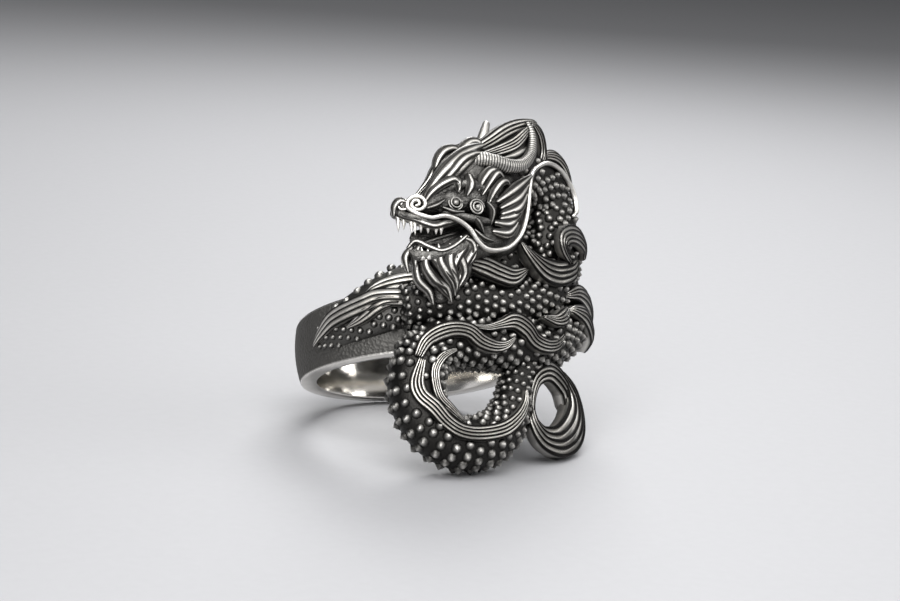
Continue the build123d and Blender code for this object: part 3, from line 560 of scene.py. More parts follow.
# The locks of the mane, each a table of rows: across, along, lift, width, thick.
# Widths and thicknesses are shares of lockWidth.
maneLocks = {
    "lockWidth": 2.2,
    "ribs": 5,
    "ribDepth": 0.15,  # share of the lock's width
    "spacing": 0.22,  # between rings of points along a lock
    "wear": 1.0,
    "ribInputs": {"Floor wear": 0.0, "Rib sharpness": 0.8, "Rub starts": 0.25, "Rub full": 0.7},
    "tables": [
        [  # wave over the body, right
            (-0.20, -0.10, 0.55, 0.15, 0.40),
            (-0.115, -0.105, 0.55, 0.30, 0.50),
            (-0.035, -0.085, 0.56, 0.50, 0.60),
            (0.045, -0.065, 0.56, 0.90, 0.60),
            (0.115, -0.095, 0.56, 1.00, 0.60),
            (0.17, -0.145, 0.55, 0.90, 0.60),
            (0.25, -0.16, 0.54, 0.75, 0.60),
            (0.335, -0.14, 0.52, 0.60, 0.60),
            (0.42, -0.08, 0.48, 0.30, 0.60),
        ],
        [  # wave over the body, left, down to the big loop
            (-0.455, -0.24, 0.50, 0.45, 0.60),
            (-0.425, -0.18, 0.53, 0.65, 0.60),
            (-0.365, -0.14, 0.54, 0.80, 0.60),
            (-0.29, -0.12, 0.55, 0.80, 0.60),
            (-0.215, -0.13, 0.55, 0.80, 0.60),
            (-0.155, -0.175, 0.55, 0.80, 0.60),
            (-0.085, -0.195, 0.55, 0.65, 0.60),
            (-0.02, -0.185, 0.55, 0.40, 0.60),
            (0.04, -0.145, 0.55, 0.15, 0.50),
        ],
        [  # outer lock round the big loop
            (-0.45, -0.27, 0.52, 0.40, 0.60),
            (-0.48, -0.37, 0.52, 0.75, 0.60),
            (-0.47, -0.435, 0.53, 0.80, 0.60),
            (-0.42, -0.495, 0.55, 0.80, 0.60),
            (-0.365, -0.565, 0.55, 0.75, 0.60),
            (-0.30, -0.61, 0.56, 0.75, 0.60),
            (-0.205, -0.62, 0.57, 0.75, 0.60),
            (-0.085, -0.595, 0.57, 0.75, 0.60),
            (0.01, -0.535, 0.55, 0.60, 0.60),
            (0.075, -0.46, 0.52, 0.40, 0.60),
            (0.095, -0.39, 0.51, 0.15, 0.50),
        ],
        [  # inner lock round the big loop's hole
            (-0.28, -0.215, 0.52, 0.15, 0.40),
            (-0.35, -0.25, 0.53, 0.40, 0.50),
            (-0.39, -0.305, 0.53, 0.45, 0.50),
            (-0.40, -0.37, 0.54, 0.45, 0.50),
            (-0.385, -0.445, 0.54, 0.45, 0.50),
            (-0.335, -0.505, 0.54, 0.40, 0.50),
            (-0.27, -0.57, 0.54, 0.15, 0.40),
        ],
        [  # wave under the jaw
            (-0.18, 0.215, 0.50, 0.60, 0.80),
            (-0.10, 0.20, 0.52, 1.05, 0.80),
            (-0.02, 0.17, 0.54, 1.05, 0.80),
            (0.07, 0.16, 0.53, 0.90, 0.80),
            (0.18, 0.215, 0.50, 0.20, 0.60),
        ],
        [  # wave under the neck
            (0.145, 0.335, 0.54, 0.20, 0.60),
            (0.20, 0.27, 0.55, 0.70, 0.80),
            (0.28, 0.225, 0.54, 1.20, 0.90),
            (0.37, 0.22, 0.53, 1.30, 0.90),
            (0.44, 0.235, 0.54, 1.20, 0.90),
            (0.51, 0.265, 0.55, 0.95, 0.80),
            (0.56, 0.31, 0.54, 0.45, 0.70),
        ],
        [  # its breaking crest
            (0.515, 0.285, 0.57, 0.25, 0.45),
            (0.43, 0.335, 0.62, 0.75, 0.50),
            (0.415, 0.385, 0.64, 0.95, 0.50),
            (0.475, 0.425, 0.64, 1.00, 0.50),
            (0.565, 0.435, 0.62, 1.00, 0.50),
            (0.645, 0.41, 0.58, 0.85, 0.50),
            (0.665, 0.365, 0.54, 0.40, 0.45),
        ],
        [  # mane over the crown, upper
            (-0.12, 0.755, 0.53, 0.40, 0.80),
            (-0.02, 0.81, 0.56, 0.75, 1.20),
            (0.08, 0.875, 0.57, 0.90, 1.30),
            (0.17, 0.92, 0.58, 0.80, 1.20),
            (0.27, 0.96, 0.60, 0.40, 0.80),
            (0.31, 0.965, 0.60, 0.20, 0.50),
        ],
        [  # mane over the crown, lower
            (-0.09, 0.735, 0.62, 0.30, 0.60),
            (0.02, 0.775, 0.64, 0.55, 0.80),
            (0.11, 0.82, 0.65, 0.65, 0.80),
            (0.18, 0.88, 0.66, 0.50, 0.70),
            (0.25, 0.94, 0.65, 0.20, 0.50),
        ],
        [  # mane falling behind the horn
            (0.29, 0.965, 0.60, 0.30, 0.50),
            (0.35, 0.93, 0.56, 0.60, 0.60),
            (0.385, 0.875, 0.52, 0.65, 0.60),
            (0.385, 0.815, 0.49, 0.60, 0.60),
            (0.345, 0.77, 0.48, 0.30, 0.50),
        ],
        [  # crest along the forehead
            (-0.41, 0.515, 0.51, 0.30, 0.60),
            (-0.345, 0.59, 0.54, 0.50, 0.90),
            (-0.29, 0.675, 0.54, 0.60, 1.00),
            (-0.225, 0.74, 0.53, 0.60, 1.00),
            (-0.15, 0.775, 0.53, 0.60, 1.00),
            (-0.07, 0.815, 0.53, 0.50, 0.90),
        ],
        [  # tuft where the body turns, upper
            (0.49, 0.14, 0.49, 0.40, 0.70),
            (0.58, 0.165, 0.47, 0.90, 1.00),
            (0.685, 0.15, 0.40, 1.10, 1.20),
            (0.765, 0.10, 0.30, 1.00, 1.20),
            (0.78, 0.03, 0.20, 0.50, 0.90),
        ],
        [  # tuft where the body turns, lower
            (0.51, 0.065, 0.52, 0.50, 0.70),
            (0.61, 0.055, 0.49, 1.00, 0.90),
            (0.705, 0.00, 0.40, 1.00, 1.00),
            (0.74, -0.05, 0.28, 0.50, 0.80),
        ],
        [  # spike over the tuft
            (0.60, 0.20, 0.44, 0.30, 0.60),
            (0.70, 0.205, 0.39, 0.60, 0.90),
            (0.785, 0.16, 0.31, 0.55, 0.90),
            (0.815, 0.10, 0.25, 0.20, 0.60),
        ],
        [  # fin along the top of the neck
            (0.42, 0.85, 0.43, 0.30, 0.60),
            (0.485, 0.87, 0.43, 0.55, 0.80),
            (0.55, 0.865, 0.43, 0.60, 0.90),
            (0.61, 0.835, 0.42, 0.55, 0.90),
            (0.655, 0.79, 0.41, 0.45, 0.80),
            (0.68, 0.74, 0.41, 0.25, 0.60),
        ],
        [  # leaf-shaped tip
            (0.245, -0.02, 0.56, 0.15, 0.60),
            (0.31, -0.03, 0.58, 0.55, 0.80),
            (0.37, -0.005, 0.575, 0.80, 0.90),
            (0.42, 0.045, 0.55, 0.30, 0.80),
        ],
        [  # arch of the tail's small loop
            (0.175, -0.54, 0.36, 0.60, 0.60),
            (0.17, -0.42, 0.37, 0.65, 0.65),
            (0.22, -0.305, 0.37, 0.85, 0.75),
            (0.33, -0.255, 0.36, 1.10, 0.80),
            (0.44, -0.31, 0.34, 1.25, 0.80),
            (0.475, -0.39, 0.33, 1.30, 0.75),
        ],
        [  # bowl of the tail's small loop
            (0.455, -0.25, 0.34, 0.50, 0.60),
            (0.51, -0.345, 0.34, 1.50, 0.80),
            (0.505, -0.45, 0.35, 2.10, 0.90),
            (0.445, -0.54, 0.36, 1.95, 0.95),
            (0.345, -0.60, 0.37, 1.60, 0.90),
            (0.235, -0.595, 0.375, 1.20, 0.85),
            (0.18, -0.53, 0.37, 0.75, 0.75),
            (0.17, -0.45, 0.37, 0.50, 0.60),
        ],
    ],
}

# The whisker, from its curl on the nostril round under the cheek and the neck.
whisker = {
    "diameter": 0.44,
    "spacing": 0.18,
    "wear": 0.8,
    "around": 14,
    "clearance": 0.45,  # about how far studs of the body stay from its middle line
    "pathSpacing": 0.3,
    "rows": [
        (-0.460, 0.460, 0.68, 0.6, 0.9),
        (-0.445, 0.466, 0.69, 0.7, 0.9),
        (-0.449, 0.484, 0.69, 0.8, 0.9),
        (-0.467, 0.484, 0.68, 0.8, 1.0),
        (-0.476, 0.462, 0.67, 0.9, 1.0),
        (-0.460, 0.441, 0.68, 0.9, 1.1),
        (-0.433, 0.444, 0.69, 0.9, 1.1),
        (-0.420, 0.469, 0.70, 0.9, 1.1),
        (-0.433, 0.496, 0.70, 0.9, 1.1),
        (-0.461, 0.505, 0.68, 0.9, 1.1),
        (-0.488, 0.487, 0.66, 0.9, 1.1),
        (-0.492, 0.453, 0.66, 1.0, 1.2),
        (-0.469, 0.424, 0.69, 1.0, 1.2),
        (-0.436, 0.404, 0.72, 1.0, 1.2),
        (-0.40, 0.395, 0.73, 1.0, 1.3),
        (-0.34, 0.405, 0.74, 1.0, 1.4),
        (-0.275, 0.385, 0.74, 1.0, 1.4),
        (-0.22, 0.345, 0.74, 1.0, 1.4),
        (-0.185, 0.295, 0.73, 1.0, 1.4),
        (-0.14, 0.26, 0.72, 1.0, 1.6),
        (-0.08, 0.255, 0.72, 1.0, 1.8),
        (0.00, 0.28, 0.72, 1.0, 1.8),
        (0.07, 0.34, 0.72, 1.0, 1.8),
        (0.115, 0.415, 0.72, 1.0, 1.8),
        (0.145, 0.505, 0.72, 1.0, 1.8),
        (0.17, 0.59, 0.71, 1.0, 1.8),
        (0.21, 0.67, 0.68, 1.0, 1.6),
        (0.28, 0.73, 0.615, 1.0, 1.6),
        (0.36, 0.775, 0.595, 1.0, 1.6),
        (0.44, 0.79, 0.585, 1.0, 1.6),
        (0.52, 0.775, 0.58, 1.0, 1.6),
        (0.59, 0.725, 0.58, 1.0, 1.4),
        (0.63, 0.66, 0.58, 1.0, 1.4),
        (0.63, 0.59, 0.585, 0.9, 1.2),
        (0.585, 0.555, 0.59, 0.7, 1.0),
    ],
}
lockPaths = []  # where a lock or the whisker lies, and how far it reaches to each side


def makeLocks():
    shape = Shape()
    section = lockSection(maneLocks["ribs"])
    for rows in maneLocks["tables"]:
        lockPaths.append(sweep(
            shape, rows, maneLocks["lockWidth"], section, maneLocks["spacing"], maneLocks["wear"],
            maneLocks["ribDepth"]))
    path = stationsAlong(whisker["rows"], whisker["pathSpacing"])[0]
    lockPaths.append((path, np.full(len(path), whisker["clearance"])))
    return applyTree(shape.toObject("maneLocks"), ribs, maneLocks["ribInputs"])


finishPiece(makeLocks())

# The studded body: rows as for the locks, sized by its diameter.
studdedBody = {
    "diameter": 5.0,
    "beadDiameter": 1.0,
    "unevenness": 0.12,  # how far a stud strays from its row, in mm
    "seed": 7,
    "skinWear": 0.02,
    "beadInputs": {"Lowest wear": 0.04, "Highest wear": 0.55},
    "around": 36,
    "spacing": 0.4,
    "endRound": 0.02,
    "rowShare": 0.88,  # rows of studs stand this share of their spacing apart
    "girthOver": 0.6,  # studs are counted round the skin plus this
    "tightness": 1.05,  # studs may be this much larger than the room between them
    "bendShare": 0.52,  # in a bend a row is left out where it comes this near the last one
    "fingerGap": 0.8,  # no stud nearer the finger hollow than this
    "lockCover": 0.85,  # share of a lock's half width that hides a stud
    "insideShare": 0.88,  # how deep in another part a stud's foot may lie, as a squared share
    "insideReach": 0.35,
    "endShare": 0.55,  # ring of smaller studs on the end of a part
    "endSize": 0.8,
    "parts": {  # spacing of the studs in mm, and their size as a share of beadDiameter
        "neckRows": (1.02, 0.96),
        "coilRows": (1.06, 1.05),
        "loopRows": (1.10, 1.10),
        "backingRows": (1.00, 0.90),
    },
    "neckRows": [
        (0.15, 0.66, 0.39, 1.10, 0.92),
        (0.32, 0.735, 0.35, 1.20, 0.92),
        (0.49, 0.68, 0.31, 1.44, 0.96),
        (0.55, 0.52, 0.30, 1.60, 0.96),
        (0.53, 0.36, 0.30, 1.60, 0.96),
        (0.43, 0.205, 0.30, 1.28, 0.96),
        (0.26, 0.10, 0.30, 1.00, 0.92),
        (0.00, 0.06, 0.31, 0.96, 0.92),
        (-0.23, 0.045, 0.29, 0.92, 0.88),
        (-0.42, 0.025, 0.24, 0.80, 0.72),
    ],
    "coilRows": [
        (0.62, 0.05, -0.275, 0.70, 0.64),
        (0.72, 0.07, 0.05, 0.96, 0.90),
        (0.66, 0.07, 0.20, 1.00, 0.96),
        (0.52, -0.02, 0.25, 1.00, 0.96),
        (0.35, -0.10, 0.29, 1.00, 0.96),
        (0.13, -0.14, 0.30, 0.96, 0.96),
        (-0.10, -0.145, 0.30, 0.96, 0.96),
        (-0.28, -0.16, 0.30, 1.00, 0.96),
        (-0.395, -0.25, 0.30, 1.00, 0.94),
    ],
    "loopRows": [
        (-0.33, -0.18, 0.30, 0.92, 0.90),
        (-0.41, -0.31, 0.30, 1.02, 0.95),
        (-0.42, -0.44, 0.31, 1.02, 0.96),
        (-0.36, -0.57, 0.31, 0.98, 0.96),
        (-0.24, -0.64, 0.32, 0.96, 0.96),
        (-0.10, -0.62, 0.33, 0.96, 0.92),
        (0.015, -0.545, 0.33, 0.84, 0.84),
        (0.08, -0.43, 0.33, 0.68, 0.70),
        (0.14, -0.31, 0.31, 0.60, 0.62),
        (0.22, -0.20, 0.29, 0.60, 0.60),
        (0.27, -0.12, 0.27, 0.56, 0.56),
    ],
    "backingRows": [
        (0.14, -0.24, 0.12, 1.60, 0.36),
        (0.14, -0.10, 0.12, 2.60, 0.50),
        (0.14, 0.10, 0.13, 3.00, 0.56),
        (0.15, 0.30, 0.14, 3.00, 0.60),
        (0.17, 0.48, 0.16, 2.60, 0.64),
        (0.20, 0.62, 0.20, 1.60, 0.56),
    ],
}


def clearOfLocks(points):
    # studs stop where a lock lies over the body
    clear = np.ones(len(points), bool)
    for path, half in lockPaths:
        gap = np.linalg.norm(points[:, None] - path[None], axis=2)
        clear &= (gap > half[None] * studdedBody["lockCover"]).all(axis=1)
    return clear


def outsideTubes(points, tubes):
    # studs stop where their foot lies inside another part of the body
    outside = np.ones(len(points), bool)
    for middle, side, out, width, thick, _ in tubes:
        away = points[:, None] - middle
        across = 2 * (away * side).sum(axis=2) / (studdedBody["diameter"] * width)
        above = 2 * (away * out).sum(axis=2) / (studdedBody["diameter"] * thick)
        ahead = np.abs((away * np.cross(side, out)).sum(axis=2))
        deep = across ** 2 + above ** 2 < studdedBody["insideShare"]
        outside &= ~(deep & (ahead < studdedBody["insideReach"])).any(axis=1)
    return outside


def makeBody():
    shape = Shape()
    section = roundSection(studdedBody["around"])
    size, stray = studdedBody["diameter"], studdedBody["unevenness"]
    chance = np.random.default_rng(studdedBody["seed"])
    tubes = {name: stationsAlong(studdedBody[name], studdedBody["spacing"]) for name in studdedBody["parts"]}

    def seat(name, seats, ways, scale, keep=True):
        others = [tube for key, tube in tubes.items() if key != name]
        keep = keep & clearOfLocks(seats) & outsideTubes(seats, others)
        keep &= np.hypot(seats[:, 0], seats[:, 1]) > boreRadius + studdedBody["fingerGap"]
        if keep.any():
            shape.add(seats[keep], [], isSeat=1.0, seatScale=scale, seatWays=unit(ways[keep]))

    for name, (pitch, beadSize) in studdedBody["parts"].items():
        rows = studdedBody[name]
        sweep(shape, rows, size, section, studdedBody["spacing"], studdedBody["skinWear"],
              tip=studdedBody["endRound"])
        points, side, out, width, thick, _ = stationsAlong(rows, pitch * studdedBody["rowShare"])
        girth = math.pi * size * np.median((width + thick) / 2) + studdedBody["girthOver"]
        around = int(round(girth / pitch))
        for k, ahead in ((0, points[0] - points[1]), (-1, points[-1] - points[-2])):
            turn = 4 * math.pi * np.arange(around // 2) / around
            foot = np.outer(width[k] * np.cos(turn), side[k]) + np.outer(thick[k] * np.sin(turn), out[k])
            seats = points[k] + studdedBody["endShare"] * size / 2 * foot
            seat(name, seats, np.tile(ahead, (len(turn), 1)), studdedBody["endSize"] * beadSize)
        for k in range(len(points)):
            a, b = size * width[k] / 2, size * thick[k] / 2
            turn = 2 * math.pi * (np.arange(around) + 0.5 * (k % 2)) / around
            turn = turn + chance.uniform(-1, 1, around) * stray / a
            slip = np.outer(chance.uniform(-1, 1, around) * stray, np.cross(side[k], out[k]))
            aside, upward = a * np.cos(turn), b * np.sin(turn)
            seats = points[k] + np.outer(aside, side[k]) + np.outer(upward, out[k]) + slip
            ways = np.outer(np.cos(turn) / a, side[k]) + np.outer(np.sin(turn) / b, out[k])
            keep = np.ones(around, bool)
            if k % 2:  # every other row stops inside a tight bend
                before = points[k - 1] + np.outer(aside, side[k - 1]) + np.outer(upward, out[k - 1])
                keep = np.linalg.norm(seats - before, axis=1) > studdedBody["bendShare"] * pitch
            room = 2 * math.pi * math.sqrt((a * a + b * b) / 2) / around / pitch
            seat(name, seats, ways, beadSize * min(1.0, room * studdedBody["tightness"]), keep)
    return applyTree(shape.toObject("studdedBody"), beads, {
        "Bead radius": studdedBody["beadDiameter"] / 2 * mm, **studdedBody["beadInputs"]})


finishPiece(makeBody())

# Head and jaw: soft forms run together into one skin.
headForms = {
    "depth": 5.0,
    "wear": 0.20,
    "around": 28,
    "spacing": 0.25,
    "skinStep": 0.11,  # how fine the joined skin is
    "softening": 6,
    "skullRows": [
        (0.16, 0.58, 0.41, 1.20, 0.88),
        (0.03, 0.60, 0.45, 1.64, 1.04),
        (-0.085, 0.595, 0.48, 1.66, 1.08),
        (-0.19, 0.56, 0.50, 1.26, 0.96),
        (-0.285, 0.515, 0.51, 0.86, 0.80),
        (-0.375, 0.475, 0.52, 0.56, 0.66),
        (-0.45, 0.46, 0.52, 0.38, 0.50),
        (-0.485, 0.455, 0.52, 0.20, 0.28),
    ],
    "jawRows": [
        (0.10, 0.41, 0.41, 0.90, 0.80),
        (-0.04, 0.35, 0.47, 0.84, 0.88),
        (-0.16, 0.295, 0.51, 0.66, 0.84),
        (-0.27, 0.25, 0.54, 0.48, 0.76),
        (-0.375, 0.22, 0.55, 0.32, 0.64),
        (-0.45, 0.22, 0.56, 0.24, 0.50),
        (-0.475, 0.25, 0.56, 0.14, 0.30),
    ],
    "mouthRows": [
        (-0.40, 0.310, 0.46, 0.50, 0.14),
        (-0.30, 0.330, 0.46, 0.64, 0.22),
        (-0.18, 0.375, 0.45, 0.70, 0.34),
        (-0.05, 0.420, 0.44, 0.80, 0.50),
    ],
    "beardRows": [
        (-0.18, 0.28, 0.46, 0.70, 0.60),
        (-0.27, 0.19, 0.50, 0.90, 0.56),
        (-0.32, 0.12, 0.50, 0.70, 0.50),
        (-0.32, 0.04, 0.46, 0.36, 0.40),
    ],
    "extraRows": [
        [  # upper lip, from the nose to the corner of the mouth
            (-0.51, 0.43, 0.57, 0.16, 0.30),
            (-0.46, 0.405, 0.62, 0.18, 0.34),
            (-0.38, 0.375, 0.65, 0.20, 0.30),
            (-0.28, 0.39, 0.65, 0.18, 0.30),
            (-0.20, 0.40, 0.64, 0.12, 0.20),
        ],
        [  # bridge of the nose
            (-0.47, 0.475, 0.56, 0.20, 0.40),
            (-0.40, 0.50, 0.60, 0.24, 0.40),
            (-0.33, 0.54, 0.64, 0.22, 0.34),
            (-0.27, 0.60, 0.66, 0.16, 0.26),
        ],
        [  # brow over the eye
            (-0.34, 0.52, 0.67, 0.10, 0.20),
            (-0.28, 0.555, 0.70, 0.16, 0.26),
            (-0.20, 0.57, 0.72, 0.20, 0.30),
            (-0.12, 0.555, 0.72, 0.18, 0.26),
            (-0.05, 0.52, 0.70, 0.10, 0.20),
        ],
        [  # cheek under the eye
            (-0.33, 0.43, 0.66, 0.10, 0.20),
            (-0.25, 0.415, 0.68, 0.16, 0.26),
            (-0.16, 0.40, 0.69, 0.18, 0.26),
            (-0.08, 0.40, 0.68, 0.12, 0.20),
        ],
        [  # forehead between brow and horn
            (-0.36, 0.54, 0.60, 0.20, 0.30),
            (-0.28, 0.62, 0.64, 0.34, 0.36),
            (-0.18, 0.68, 0.64, 0.42, 0.40),
            (-0.06, 0.70, 0.62, 0.40, 0.40),
        ],
        [  # tongue
            (-0.39, 0.285, 0.56, 0.10, 0.16),
            (-0.31, 0.305, 0.56, 0.16, 0.20),
            (-0.22, 0.335, 0.56, 0.16, 0.20),
            (-0.12, 0.375, 0.54, 0.16, 0.20),
        ],
        [  # lower lip
            (-0.47, 0.245, 0.62, 0.10, 0.20),
            (-0.42, 0.225, 0.65, 0.14, 0.24),
            (-0.35, 0.24, 0.66, 0.14, 0.22),
            (-0.26, 0.28, 0.66, 0.12, 0.20),
            (-0.16, 0.33, 0.66, 0.12, 0.20),
        ],
    ],
    # of the nose: across, along, lift, diameter
    "bulbs": [(-0.49, 0.470, 0.57, 1.7), (-0.505, 0.440, 0.56, 1.4), (-0.50, 0.45, 0.50, 1.2)],
}


def addBall(shape, centre, diameter, wear, rows=9, around=16):
    turn = np.linspace(0, 2 * math.pi, around, endpoint=False)
    rings = []
    for lean in np.linspace(-math.pi / 2, math.pi / 2, rows + 2)[1:-1]:
        ring = np.stack((np.cos(turn) * math.cos(lean), np.sin(turn) * math.cos(lean),
                         np.full(around, math.sin(lean))), axis=1)
        rings.append(centre + ring * diameter / 2)
    pole = np.array((0, 0, diameter / 2))
    shape.addRings(rings, centre - pole, centre + pole, wear=wear)


def facePoint(*place):
    return facePoints(np.array([place]))[0]


def makeHead():
    shape = Shape()
    section = roundSection(headForms["around"])
    tables = [headForms[name] for name in ("skullRows", "jawRows", "mouthRows", "beardRows")]
    for rows in tables + headForms["extraRows"]:
        sweep(shape, rows, headForms["depth"], section, headForms["spacing"], headForms["wear"])
    for across, along, lift, diameter in headForms["bulbs"]:
        addBall(shape, facePoint(across, along, lift), diameter, headForms["wear"])
    piece = shape.toObject("headAndJaw")
    remesh = piece.modifiers.new("joined", "REMESH")
    remesh.mode = "VOXEL"
    remesh.voxel_size = headForms["skinStep"] * mm
    soften = piece.modifiers.new("soft", "SMOOTH")
    soften.iterations = headForms["softening"]
    mesh = settle(piece).data
    layer = mesh.attributes.get("wear") or mesh.attributes.new("wear", "FLOAT", "POINT")
    layer.data.foreach_set("value", np.full(len(mesh.vertices), headForms["wear"], np.float32))
    mesh.materials.clear()
    mesh.materials.append(skinSterling)
    return piece


finishPiece(makeHead())

